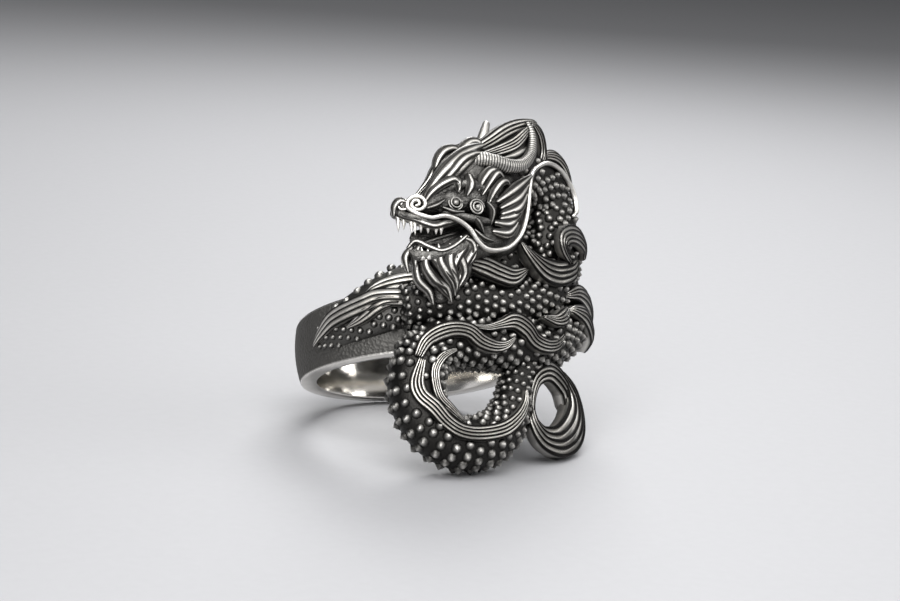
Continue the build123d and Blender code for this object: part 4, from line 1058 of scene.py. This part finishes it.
# Fine hair of the face, brow and beard, by where it grows. Its rows are like the mane's,
# with widths and thicknesses as shares of strandWidth.
faceHair = {
    "strandWidth": 0.8,
    "wear": 0.75,
    "foldWear": 0.3,
    "ribs": 2,
    "ribDepth": 0.13,
    "ribInputs": {"Floor wear": 0.03, "Rib sharpness": 0.8, "Rub starts": 0.2, "Rub full": 0.75},
    "spacing": 0.16,
    "tables": {
        "cheek": [
            [
                (-0.04, 0.505, 0.71, 0.82, 0.8),
                (0.065, 0.575, 0.74, 1.62, 1.0),
                (0.195, 0.665, 0.71, 0.49, 0.6),
            ],
            [
                (-0.02, 0.475, 0.71, 0.82, 0.8),
                (0.075, 0.53, 0.74, 1.62, 1.0),
                (0.16, 0.61, 0.72, 0.49, 0.6),
            ],
            [
                (-0.015, 0.445, 0.71, 0.82, 0.8),
                (0.07, 0.48, 0.74, 1.62, 1.0),
                (0.145, 0.56, 0.72, 0.49, 0.6),
            ],
            [
                (-0.025, 0.42, 0.71, 0.82, 0.8),
                (0.045, 0.44, 0.73, 1.46, 1.0),
                (0.105, 0.495, 0.72, 0.49, 0.6),
            ],
            [
                (-0.06, 0.395, 0.7, 0.82, 0.8),
                (0.015, 0.395, 0.72, 1.46, 1.0),
                (0.09, 0.455, 0.71, 0.49, 0.6),
            ],
            [
                (-0.075, 0.35, 0.7, 0.82, 0.8),
                (0.00, 0.35, 0.72, 1.46, 1.0),
                (0.07, 0.41, 0.71, 0.49, 0.6),
            ],
        ],
        "eye": [  # short locks round it
            [
                (-0.27, 0.60, 0.71, 1.02, 0.9),
                (-0.265, 0.57, 0.74, 1.53, 1.2),
                (-0.255, 0.53, 0.72, 0.51, 0.7),
            ],
            [
                (-0.20, 0.61, 0.73, 1.02, 0.9),
                (-0.205, 0.56, 0.76, 1.53, 1.2),
                (-0.22, 0.515, 0.74, 0.51, 0.7),
            ],
            [
                (-0.135, 0.525, 0.74, 0.52, 0.7),
                (-0.095, 0.595, 0.78, 1.17, 1.2),
                (-0.055, 0.63, 0.78, 1.17, 1.2),
                (-0.01, 0.615, 0.75, 0.39, 0.7),
            ],
        ],
        "snout": [  # bridge of the nose, upper lip and lower lip
            [
                (-0.42, 0.48, 0.63, 0.6, 1.0),
                (-0.345, 0.54, 0.68, 1.08, 1.4),
                (-0.29, 0.59, 0.70, 1.2, 1.6),
                (-0.24, 0.635, 0.70, 1.2, 1.6),
                (-0.145, 0.72, 0.70, 1.08, 1.4),
            ],
            [
                (-0.515, 0.425, 0.59, 0.9, 1.3),
                (-0.49, 0.41, 0.61, 1.0, 1.4),
                (-0.455, 0.39, 0.65, 0.9, 1.4),
                (-0.42, 0.37, 0.67, 1.0, 1.4),
                (-0.38, 0.36, 0.68, 1.0, 1.4),
                (-0.33, 0.375, 0.68, 1.08, 1.4),
                (-0.27, 0.39, 0.68, 0.72, 1.2),
            ],
            [
                (-0.45, 0.275, 0.49, 0.8, 1.2),
                (-0.38, 0.30, 0.49, 1.0, 1.4),
                (-0.28, 0.335, 0.49, 1.0, 1.4),
                (-0.18, 0.37, 0.49, 0.8, 1.2),
            ],
        ],
        "chin": [
            [
                (-0.465, 0.27, 0.58, 0.72, 1.0),
                (-0.50, 0.22, 0.58, 1.08, 1.2),
                (-0.49, 0.15, 0.57, 0.36, 0.6),
            ],
            [
                (-0.44, 0.275, 0.61, 0.72, 1.0),
                (-0.465, 0.22, 0.61, 1.08, 1.2),
                (-0.46, 0.15, 0.59, 0.36, 0.6),
            ],
            [
                (-0.46, 0.205, 0.60, 0.72, 1.0),
                (-0.45, 0.115, 0.58, 1.2, 1.0),
                (-0.40, 0.055, 0.57, 1.08, 1.0),
                (-0.38, 0.00, 0.55, 0.36, 0.6),
            ],
            [
                (-0.44, 0.19, 0.62, 0.72, 1.0),
                (-0.39, 0.11, 0.62, 1.56, 1.2),
                (-0.325, 0.07, 0.61, 1.2, 1.0),
                (-0.30, 0.01, 0.58, 0.36, 0.6),
            ],
            [
                (-0.40, 0.21, 0.65, 0.72, 1.0),
                (-0.34, 0.155, 0.65, 1.68, 1.3),
                (-0.29, 0.10, 0.64, 1.2, 1.2),
                (-0.285, 0.04, 0.60, 0.36, 0.6),
            ],
            [
                (-0.31, 0.275, 0.66, 0.72, 1.0),
                (-0.265, 0.215, 0.66, 1.56, 1.3),
                (-0.24, 0.145, 0.64, 1.2, 1.2),
                (-0.26, 0.08, 0.60, 0.36, 0.6),
            ],
            [
                (-0.26, 0.31, 0.69, 0.48, 0.8),
                (-0.205, 0.285, 0.70, 0.96, 1.0),
                (-0.195, 0.225, 0.68, 0.96, 1.0),
                (-0.235, 0.16, 0.64, 0.36, 0.6),
            ],
        ],
        "beard": [  # over the jaw, from the lip down into the beard
            [
                (-0.18, 0.32, 0.69, 0.5, 0.8),
                (-0.185, 0.27, 0.69, 1.2, 1.0),
                (-0.22, 0.22, 0.67, 1.5, 1.2),
                (-0.25, 0.16, 0.64, 1.2, 1.0),
                (-0.275, 0.08, 0.60, 0.4, 0.6),
            ],
            [
                (-0.22, 0.315, 0.69, 0.5, 0.8),
                (-0.24, 0.27, 0.69, 1.3, 1.0),
                (-0.28, 0.215, 0.67, 1.6, 1.2),
                (-0.30, 0.15, 0.64, 1.2, 1.0),
                (-0.29, 0.08, 0.60, 0.4, 0.6),
            ],
            [
                (-0.29, 0.275, 0.68, 0.5, 0.8),
                (-0.315, 0.235, 0.68, 1.3, 1.0),
                (-0.32, 0.18, 0.67, 1.6, 1.2),
                (-0.295, 0.12, 0.65, 1.4, 1.0),
                (-0.275, 0.06, 0.61, 0.4, 0.6),
            ],
            [
                (-0.36, 0.235, 0.67, 0.5, 0.8),
                (-0.365, 0.19, 0.67, 1.3, 1.0),
                (-0.34, 0.14, 0.66, 1.6, 1.2),
                (-0.305, 0.09, 0.64, 1.2, 1.0),
                (-0.285, 0.04, 0.60, 0.4, 0.6),
            ],
            [
                (-0.425, 0.225, 0.65, 0.5, 0.8),
                (-0.43, 0.17, 0.65, 1.2, 1.0),
                (-0.40, 0.12, 0.63, 1.4, 1.2),
                (-0.35, 0.07, 0.61, 1.0, 1.0),
                (-0.31, 0.03, 0.59, 0.4, 0.6),
            ],
        ],
        "brow": [  # tufts over the eye and behind it
            [
                (-0.534, 0.428, 0.575, 0.5, 0.8),
                (-0.534, 0.464, 0.600, 1.1, 1.1),
                (-0.515, 0.489, 0.622, 1.2, 1.2),
                (-0.490, 0.481, 0.640, 0.4, 0.8),
            ],
            [
                (-0.414, 0.481, 0.670, 0.5, 0.8),
                (-0.390, 0.523, 0.710, 1.1, 1.2),
                (-0.344, 0.561, 0.735, 1.3, 1.4),
                (-0.289, 0.584, 0.750, 1.2, 1.3),
                (-0.254, 0.565, 0.740, 0.4, 0.8),
            ],
            [
                (-0.36, 0.525, 0.68, 0.5, 0.8),
                (-0.325, 0.565, 0.71, 1.0, 1.0),
                (-0.285, 0.58, 0.73, 1.2, 1.2),
                (-0.26, 0.56, 0.74, 1.0, 1.0),
                (-0.262, 0.53, 0.73, 0.4, 0.7),
            ],
            [
                (-0.155, 0.545, 0.74, 0.5, 0.7),
                (-0.14, 0.59, 0.77, 1.2, 1.1),
                (-0.10, 0.635, 0.78, 1.3, 1.2),
                (-0.06, 0.645, 0.77, 0.9, 1.0),
                (-0.035, 0.63, 0.75, 0.4, 0.7),
            ],
            [
                (-0.10, 0.49, 0.73, 0.5, 0.7),
                (-0.08, 0.54, 0.76, 1.2, 1.1),
                (-0.04, 0.585, 0.77, 1.3, 1.2),
                (0.00, 0.60, 0.76, 0.9, 1.0),
                (0.025, 0.59, 0.74, 0.4, 0.7),
            ],
        ],
        "crest": [  # mane beside the forehead's crest, and the ridge from the brow to the horn
            [
                (-0.42, 0.495, 0.66, 0.6, 0.8),
                (-0.373, 0.575, 0.72, 1.3, 1.2),
                (-0.311, 0.646, 0.74, 1.9, 1.5),
                (-0.227, 0.713, 0.73, 1.9, 1.5),
                (-0.15, 0.755, 0.71, 1.4, 1.2),
                (-0.08, 0.785, 0.68, 0.6, 0.8),
            ],
            [
                (-0.39, 0.51, 0.69, 0.5, 0.7),
                (-0.335, 0.575, 0.73, 1.1, 1.1),
                (-0.288, 0.629, 0.755, 1.4, 1.3),
                (-0.235, 0.684, 0.755, 1.4, 1.3),
                (-0.17, 0.72, 0.74, 1.1, 1.1),
                (-0.12, 0.735, 0.72, 0.5, 0.8),
            ],
        ],
        "ridge": [  # waves of the crest on the far side of the forehead
            [
                (-0.335, 0.631, 0.60, 0.5, 0.8),
                (-0.314, 0.696, 0.60, 1.1, 1.2),
                (-0.275, 0.748, 0.60, 1.4, 1.4),
                (-0.222, 0.767, 0.60, 1.1, 1.2),
                (-0.179, 0.755, 0.60, 0.4, 0.8),
            ],
            [
                (-0.232, 0.715, 0.60, 0.5, 0.8),
                (-0.182, 0.768, 0.60, 1.1, 1.2),
                (-0.129, 0.806, 0.60, 1.4, 1.4),
                (-0.085, 0.812, 0.60, 1.1, 1.2),
                (-0.057, 0.792, 0.60, 0.4, 0.8),
            ],
        ],
        "lip": [  # rim of the lower jaw
            [
                (-0.49, 0.265, 0.60, 0.4, 0.7),
                (-0.462, 0.292, 0.63, 0.7, 0.9),
                (-0.415, 0.262, 0.665, 0.8, 1.0),
                (-0.365, 0.240, 0.69, 0.8, 1.0),
                (-0.305, 0.262, 0.70, 0.8, 1.0),
                (-0.235, 0.315, 0.71, 0.5, 0.8),
            ],
        ],
        "crown": [  # mane in the bend of the horn
            [
                (-0.06, 0.765, 0.62, 0.5, 1.0),
                (0.04, 0.79, 0.64, 1.6, 1.4),
                (0.13, 0.835, 0.65, 2.0, 1.6),
                (0.20, 0.885, 0.65, 1.6, 1.4),
                (0.255, 0.935, 0.64, 0.5, 0.8),
            ],
            [
                (0.05, 0.745, 0.61, 0.5, 1.0),
                (0.12, 0.77, 0.62, 1.6, 1.4),
                (0.18, 0.81, 0.63, 1.8, 1.6),
                (0.23, 0.87, 0.63, 1.4, 1.4),
                (0.275, 0.94, 0.62, 0.5, 0.8),
            ],
        ],
        "fold": [  # folds of the snout and the cheek, and under the eye
            [
                (-0.402, 0.451, 0.655, 0.4, 0.7),
                (-0.364, 0.464, 0.688, 0.8, 1.0),
                (-0.324, 0.489, 0.698, 0.3, 0.6),
            ],
            [
                (-0.333, 0.452, 0.688, 0.3, 0.7),
                (-0.289, 0.431, 0.712, 0.8, 1.0),
                (-0.237, 0.433, 0.715, 0.3, 0.7),
            ],
            [
                (-0.200, 0.418, 0.715, 0.3, 0.7),
                (-0.165, 0.385, 0.722, 0.9, 1.0),
                (-0.137, 0.338, 0.702, 0.3, 0.6),
            ],
            [
                (-0.109, 0.488, 0.725, 0.3, 0.7),
                (-0.084, 0.445, 0.732, 0.9, 1.0),
                (-0.094, 0.385, 0.712, 0.3, 0.6),
            ],
            [
                (-0.181, 0.350, 0.692, 0.3, 0.7),
                (-0.140, 0.313, 0.702, 0.8, 1.0),
                (-0.084, 0.302, 0.698, 0.3, 0.6),
            ],
        ],
    },
}


def makeHair():
    shape = Shape()
    section = lockSection(faceHair["ribs"], perRib=6, under=5)
    for name, tables in faceHair["tables"].items():
        wear = faceHair["foldWear" if name == "fold" else "wear"]
        for rows in tables:
            sweep(shape, rows, faceHair["strandWidth"], section, faceHair["spacing"], wear,
                  faceHair["ribDepth"])
    return applyTree(shape.toObject("faceHair"), ribs, faceHair["ribInputs"])


def makeWhisker():
    shape = Shape()
    section = roundSection(whisker["around"])
    sweep(shape, whisker["rows"], whisker["diameter"], section, whisker["spacing"], whisker["wear"])
    piece = shape.toObject("whisker")
    piece.data.materials.append(castSterling)
    return piece


# The near horn has rings cut round it. The far one is plain.
horns = {
    "diameter": 1.6,
    "ringPitch": 0.27,
    "ringDepth": 0.022,
    "wear": 0.48,
    "ribInputs": {"Floor wear": 0.1, "Rib sharpness": 0.6},
    "around": 24,
    "nearSpacing": 0.06,
    "farSpacing": 0.1,
    "nearRows": [
        (-0.19, 0.695, 0.60, 1.00, 1.00),
        (-0.13, 0.705, 0.67, 1.15, 1.15),
        (-0.04, 0.695, 0.72, 1.05, 1.05),
        (0.04, 0.685, 0.74, 0.92, 0.92),
        (0.125, 0.705, 0.74, 0.80, 0.80),
        (0.195, 0.765, 0.73, 0.70, 0.70),
        (0.225, 0.835, 0.72, 0.60, 0.60),
        (0.23, 0.90, 0.71, 0.48, 0.48),
        (0.22, 0.94, 0.69, 0.30, 0.30),
    ],
    "farRows": [
        (0.02, 0.78, 0.31, 1.00, 1.00),
        (0.05, 0.875, 0.35, 0.74, 0.74),
        (0.075, 0.935, 0.35, 0.58, 0.58),
        (0.095, 0.975, 0.34, 0.46, 0.46),
    ],
}


def makeHorns():
    shape = Shape()
    section = roundSection(horns["around"])
    sweep(shape, horns["nearRows"], horns["diameter"], section, horns["nearSpacing"], horns["wear"],
          horns["ringDepth"], ringPitch=horns["ringPitch"])
    sweep(shape, horns["farRows"], horns["diameter"], section, horns["farSpacing"], horns["wear"])
    return applyTree(shape.toObject("horns"), ribs, horns["ribInputs"])


# Teeth of both jaws: curved cones.
mouth = {
    "toothLength": 1.2,
    "toothDiameter": 0.5,
    "toothRoot": 0.4,  # share of its length that a tooth is set into the gum
    "toothCurve": 0.12,
    "bluntness": 0.8,
    "wear": 0.9,
    "around": 12,
    "ringShares": (-0.35, 0.0, 0.3, 0.6, 0.85),  # places of a tooth's rings along its length
    "toothRows": [  # across, along, lift, share of toothLength: below nought it points down
        (-0.52, 0.405, 0.59, -1.0),
        (-0.50, 0.40, 0.61, -0.8),
        (-0.475, 0.39, 0.64, -1.0),
        (-0.462, 0.39, 0.65, -1.2),
        (-0.44, 0.37, 0.67, -0.7),
        (-0.41, 0.36, 0.68, -0.6),
        (-0.375, 0.355, 0.69, -0.6),
        (-0.35, 0.355, 0.69, -0.6),
        (-0.445, 0.215, 0.67, 0.9),
        (-0.42, 0.215, 0.68, 0.8),
        (-0.39, 0.225, 0.68, 0.8),
        (-0.365, 0.24, 0.68, 0.7),
    ],
}


def makeTeeth():
    shape = Shape()
    turn = np.linspace(0, 2 * math.pi, mouth["around"], endpoint=False)
    for across, along, lift, pointing in mouth["toothRows"]:
        root = facePoint(across, along, lift)
        length = mouth["toothLength"] * pointing
        rings = []
        for share in mouth["ringShares"]:
            radius = mouth["toothDiameter"] / 2 * (1 - max(share, 0)) ** mouth["bluntness"]
            ring = np.stack((radius * np.cos(turn), radius * np.sin(turn), np.zeros(len(turn))), axis=1)
            rings.append(root + ring + np.array((0, mouth["toothCurve"] * share * share, length * share)))
        ends = [root - np.array((0, 0, mouth["toothRoot"] * length)),
                root + np.array((0, mouth["toothCurve"], length))]
        if pointing < 0:
            rings, ends = rings[::-1], ends[::-1]
        shape.addRings(rings, *ends, wear=mouth["wear"])
    piece = shape.toObject("teeth")
    piece.data.materials.append(castSterling)
    return piece


# Coiled ridges: centre across, along, lift, first and last radius in mm, turns, thickness, wear.
volutes = {
    "rows": [
        (-0.268, 0.480, 0.700, 0.70, 0.70, 1.0, 0.15, 0.38),
        (-0.268, 0.480, 0.710, 0.50, 0.50, 1.0, 0.15, 0.38),
        (-0.165, 0.460, 0.725, 0.84, 0.25, 2.2, 0.20, 0.38),
        (-0.505, 0.466, 0.640, 0.62, 0.22, 1.5, 0.22, 0.80),
    ],
    # across, along, lift, diameter
    "balls": [(-0.268, 0.48, 0.70, 0.60), (-0.165, 0.46, 0.735, 0.50)],
    "ballWear": 0.38,
    "stepsPerTurn": 26,
    "around": 12,
    "rise": 0.15,  # how far the end of a curl of more than one turn stands out
    "endShare": 0.4,  # thickness left at a ridge's ends
    "fade": 8,  # how quickly the ends swell to the full thickness
}


def makeVolutes():
    shape = Shape()
    up = np.array((0, 0, 1.0))
    angle = np.linspace(0, 2 * math.pi, volutes["around"], endpoint=False)[None, :, None]
    for across, along, lift, first, last, turns, thick, wear in volutes["rows"]:
        centre = facePoint(across, along, lift)
        out = unit(np.array((centre[0], centre[1] - ringSizes["normalSetback"], 0.0)))
        side = unit(np.cross(up, out))
        steps = np.linspace(0, 1, int(volutes["stepsPerTurn"] * turns) + 1)
        turn = 2 * math.pi * turns * steps
        radius = first + (last - first) * steps
        path = centre + np.outer(radius * np.cos(turn), side) + np.outer(radius * np.sin(turn), up)
        path = path + np.outer(steps * volutes["rise"] * (turns > 1), out)
        inward = np.cross(unit(np.gradient(path, axis=0)), out)
        swell = np.minimum(steps, 1 - steps) * volutes["fade"] + volutes["endShare"]
        half = thick / 2 * np.minimum(1, swell)[:, None, None]
        rings = path[:, None] + half * (np.cos(angle) * inward[:, None] + np.sin(angle) * out)
        shape.addRings(rings, path[0], path[-1], wear=wear)
    for across, along, lift, diameter in volutes["balls"]:
        addBall(shape, facePoint(across, along, lift), diameter, volutes["ballWear"])
    piece = shape.toObject("eyeAndVolutes")
    piece.data.materials.append(castSterling)
    return piece


for make in (makeHair, makeWhisker, makeHorns, makeTeeth, makeVolutes):
    finishPiece(make())

# Relief on the shoulders: turn from the front in degrees, along, rise, width, thick.
# The panel's sizes are shares of the body's diameter, the locks' of lockWidth.
shoulders = {
    "panelRows": [
        (12, 0.13, 0.5, 1.20, 0.60),
        (26, 0.13, 0.4, 1.20, 0.60),
        (40, 0.10, 0.2, 1.15, 0.56),
        (54, 0.065, 0.0, 1.05, 0.48),
        (68, 0.03, -0.2, 0.88, 0.42),
        (80, -0.005, -0.4, 0.66, 0.34),
        (90, -0.04, -0.7, 0.36, 0.22),
    ],
    "lockTables": [
        [  # long lock, from under the body to its tip at the back
            (27, 0.097, 1.60, 0.60, 0.73),
            (31, 0.084, 1.55, 0.80, 0.73),
            (37, 0.077, 1.50, 0.90, 0.73),
            (44, 0.087, 1.40, 0.90, 0.73),
            (50, 0.090, 1.30, 0.95, 0.70),
            (55.5, 0.077, 1.20, 0.95, 0.68),
            (61, 0.066, 1.05, 0.95, 0.65),
            (67.5, 0.053, 0.90, 0.95, 0.60),
            (74, 0.037, 0.65, 0.85, 0.55),
            (81, 0.004, 0.35, 0.60, 0.48),
            (90, -0.034, -0.10, 0.20, 0.38),
        ],
        [  # leaf below it
            (41, 0.062, 1.50, 0.40, 0.65),
            (46, 0.066, 1.45, 0.60, 0.65),
            (50.5, 0.050, 1.35, 0.70, 0.62),
            (55, 0.024, 1.15, 0.65, 0.58),
            (59.5, 0.002, 0.95, 0.45, 0.52),
            (65, -0.012, 0.65, 0.15, 0.45),
        ],
        [  # leaf above it
            (28.5, 0.154, 1.65, 0.60, 0.70),
            (32.5, 0.160, 1.60, 0.80, 0.70),
            (38, 0.160, 1.50, 0.85, 0.70),
            (45, 0.153, 1.35, 0.70, 0.65),
            (50, 0.142, 1.25, 0.45, 0.60),
            (54, 0.128, 1.05, 0.15, 0.50),
        ],
    ],
    "studRows": [  # turn, along, rise, share of beadDiameter
        (33, 0.240, 0.40, 1.10),
        (38, 0.238, 0.50, 1.10),
        (43, 0.252, 0.20, 1.10),
        (43.5, 0.210, 0.85, 1.10),
        (48.5, 0.218, 0.40, 1.15),
        (54, 0.192, 0.50, 1.15),
        (59.5, 0.158, 0.55, 1.10),
        (65.5, 0.122, 0.50, 1.05),
        (72.5, 0.110, 0.25, 1.05),
        (79.5, 0.077, 0.05, 0.95),
        (86.5, 0.041, -0.15, 0.85),
    ],
    "ribs": 4,
    "pathSpacing": 0.3,
    "panelSpacing": 0.3,
    "panelAround": 36,
    "panelWear": 0.1,
    "ribInputs": {"Floor wear": 0.0, "Rib sharpness": 0.8},
    "beadInputs": {"Lowest wear": 0.05, "Highest wear": 0.6},
    "beadDiameter": 1.0,
    "beadSpacing": 0.86,
    "rowShare": 0.87,  # rows of beads stand this share of their spacing apart
    "panelShare": 0.96,  # part of the panel's width that carries beads
    "lockCover": 0.9,  # share of a lock's half width that hides a bead
    "studTilt": 3.5,  # leans the larger studs along the finger, towards the band's edge
    "smallestBead": 0.6,  # the beads dwindle to this share at the back
}


def mirrored(rows, hand):
    # the turn from the front changes sides, and all else stays
    return [(hand * row[0],) + row[1:] for row in rows]


def eachShoulder():
    # the same relief on both sides of the ring, one the mirror image of the other
    for hand in (-1, 1):
        locks = [mirrored(rows, hand) for rows in shoulders["lockTables"]]
        yield mirrored(shoulders["panelRows"], hand), locks, mirrored(shoulders["studRows"], hand)


def makeShoulders():
    shape = Shape()
    panelSection, section = roundSection(shoulders["panelAround"]), lockSection(shoulders["ribs"])
    for panel, locks, _ in eachShoulder():
        sweep(shape, panel, studdedBody["diameter"], panelSection, shoulders["panelSpacing"],
              shoulders["panelWear"], pointsAt=shoulderPoints)
        for rows in locks:
            sweep(shape, rows, maneLocks["lockWidth"], section, maneLocks["spacing"], maneLocks["wear"],
                  maneLocks["ribDepth"], pointsAt=shoulderPoints)
    return applyTree(shape.toObject("shoulderRelief"), ribs, shoulders["ribInputs"])


def makeShoulderBeads():
    # smaller beads beside the shoulder locks, and a row of larger studs along the edge
    shape = Shape()
    size, pitch, least = studdedBody["diameter"], shoulders["beadSpacing"], shoulders["smallestBead"]
    for panel, locks, studs in eachShoulder():
        lockPlaces = []
        for rows in locks:
            path, _, _, width, _, _ = stationsAlong(rows, shoulders["pathSpacing"], shoulderPoints)
            lockPlaces.append((path, maneLocks["lockWidth"] * width / 2 * shoulders["lockCover"]))
        studs = np.array(studs)
        studPlaces, studSizes = shoulderPoints(studs), studs[:, 3]
        studWays = unit(studPlaces * (1, 1, 0) + (0, 0, shoulders["studTilt"]))
        shape.add(studPlaces, [], isSeat=1.0, seatScale=studSizes, seatWays=studWays)
        spacing = pitch * shoulders["rowShare"]
        points, side, out, width, thick, _ = stationsAlong(panel, spacing, shoulderPoints)
        for k in range(1, len(points) - 1):
            a, b = size * width[k] / 2, size * thick[k] / 2
            reach = a * shoulders["panelShare"]
            most = math.ceil(reach / pitch)
            places = np.arange(-most, most + 1) * pitch + pitch / 2 * (k % 2)
            places = places[np.abs(places) < reach]
            rise = b * np.sqrt(1 - (places / a) ** 2)
            seats = points[k] + np.outer(places, side[k]) + np.outer(rise, out[k])
            ways = unit(np.outer(places / (a * a), side[k]) + np.outer(rise / (b * b), out[k]))
            keep = np.ones(len(seats), bool)
            for path, half in lockPlaces:
                flat = path - seats[:, None]
                gap = np.linalg.norm(flat - (flat * out[k]).sum(axis=2, keepdims=True) * out[k], axis=2)
                keep &= (gap > half).all(axis=1)
            toStuds = np.linalg.norm(studPlaces - seats[:, None], axis=2)
            keep &= (toStuds > shoulders["beadDiameter"] / 2 * (1 + studSizes)).all(axis=1)
            if keep.any():
                scale = least + (1 - least) * (1 - k / len(points))
                shape.add(seats[keep], [], isSeat=1.0, seatScale=scale, seatWays=ways[keep])
    return applyTree(shape.toObject("shoulderBeads"), beads, {
        "Bead radius": shoulders["beadDiameter"] / 2 * mm, **shoulders["beadInputs"]})


finishPiece(makeShoulders())
finishPiece(makeShoulderBeads())
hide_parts("dragon_ring")
print("ring dressed in", len(pieces), "pieces")

# Pale floor, soft lights all round, and the camera low at the front left.
setting = {
    "floorSize": 1.6,
    "floorColour": "858587",
    "fibreScale": 900.0,  # waves of fibre to the metre
    "worldColour": "b9bbbf",
    "worldStrength": 0.20,
    "lights": [  # name, place, size in metres, watts
        ("keyLight", (-0.12, -0.14, 0.27), 0.30, 1.9),
        ("topLight", (0.02, 0.02, 0.42), 0.40, 1.2),
        ("sideLight", (0.19, -0.19, 0.15), 0.22, 0.5),
        ("rimLight", (0.16, 0.16, 0.20), 0.14, 0.9),
        ("fillLight", (-0.28, -0.20, 0.10), 0.28, 0.7),
    ],
    "lightAim": (0.0, 0.0, 0.012),
    # camera about the finger hole, in mm: where it stands, and which way it looks
    "cameraPlace": (-145.5, -191.3, -60.5),
    "cameraAhead": (0.587, 0.772, 0.244),
    "cameraRight": (0.806, -0.586, -0.085),
    "ringOffset": (0.0159, 0.0190),  # how far the ring stands left of and below the middle
    "lens": 100.0,
}


def seamlessPaper(colour):
    # seamless paper: matt, with a trace of fibre in its tone
    material, tree, place = newMaterial("seamlessPaper")
    fibre = addNode(tree, "ShaderNodeTexNoise", {}, {
        "Vector": place, "Scale": setting["fibreScale"], "Detail": 2.0})
    tone = addNode(tree, "ShaderNodeMapRange", {}, {
        "Value": fibre.outputs["Fac"], "To Min": 0.96, "To Max": 1.02})
    mixed = addNode(tree, "ShaderNodeVectorMath", {"operation": "SCALE"}, {
        0: linear(colour)[:3], "Scale": tone.outputs["Result"]})
    shader = addNode(tree, "ShaderNodeBsdfPrincipled", {}, {"Base Color": mixed, "Roughness": 0.7})
    addNode(tree, "ShaderNodeOutputMaterial", {}, {"Surface": shader})
    return material


def makeSetting():
    half = setting["floorSize"] / 2
    corners = [(-half, -half, 0), (half, -half, 0), (half, half, 0), (-half, half, 0)]
    mesh = bpy.data.meshes.new("paperFloor")
    mesh.from_pydata(corners, [], [(0, 1, 2, 3)])
    mesh.materials.append(seamlessPaper(setting["floorColour"]))
    floor = bpy.data.objects.new("paperFloor", mesh)
    bpy.context.scene.collection.objects.link(floor)
    world = bpy.data.worlds.new("softStudio")
    world.use_nodes = True
    sky = world.node_tree.nodes["Background"]
    sky.inputs["Color"].default_value = linear(setting["worldColour"])
    sky.inputs["Strength"].default_value = setting["worldStrength"]
    bpy.context.scene.world = world
    for name, place, size, watts in setting["lights"]:
        lamp = bpy.data.lights.new(name, "AREA")
        lamp.size = size
        lamp.energy = watts
        holder = bpy.data.objects.new(name, lamp)
        away = Vector(place) - Vector(setting["lightAim"])
        holder.location = place
        holder.rotation_euler = away.to_track_quat("Z", "Y").to_euler()
        bpy.context.scene.collection.objects.link(holder)


def squareTo(right, ahead):
    # what is left of a sideways direction once it stands square to the view
    return unit(right - ahead * (right @ ahead))


def makeCamera():
    camera = bpy.data.cameras.new("camera")
    camera.lens = setting["lens"]
    camera.sensor_width = 36.0
    camera.clip_start = 0.01
    ahead = restTurn @ unit(np.array(setting["cameraAhead"]))
    right = squareTo(restTurn @ np.array(setting["cameraRight"]), ahead)
    aside, below = setting["ringOffset"]
    ahead = unit(ahead + right * aside + np.cross(right, ahead) * below)
    right = squareTo(right, ahead)
    columns = (right, np.cross(right, ahead), -ahead, toFrame(setting["cameraPlace"]))
    holder = bpy.data.objects.new("camera", camera)
    holder.matrix_world = Matrix([*np.stack(columns, axis=1).tolist(), (0, 0, 0, 1)])
    bpy.context.scene.collection.objects.link(holder)
    bpy.context.scene.camera = holder


makeSetting()
makeCamera()
bpy.context.scene.view_settings.view_transform = "Standard"
print("setting made")
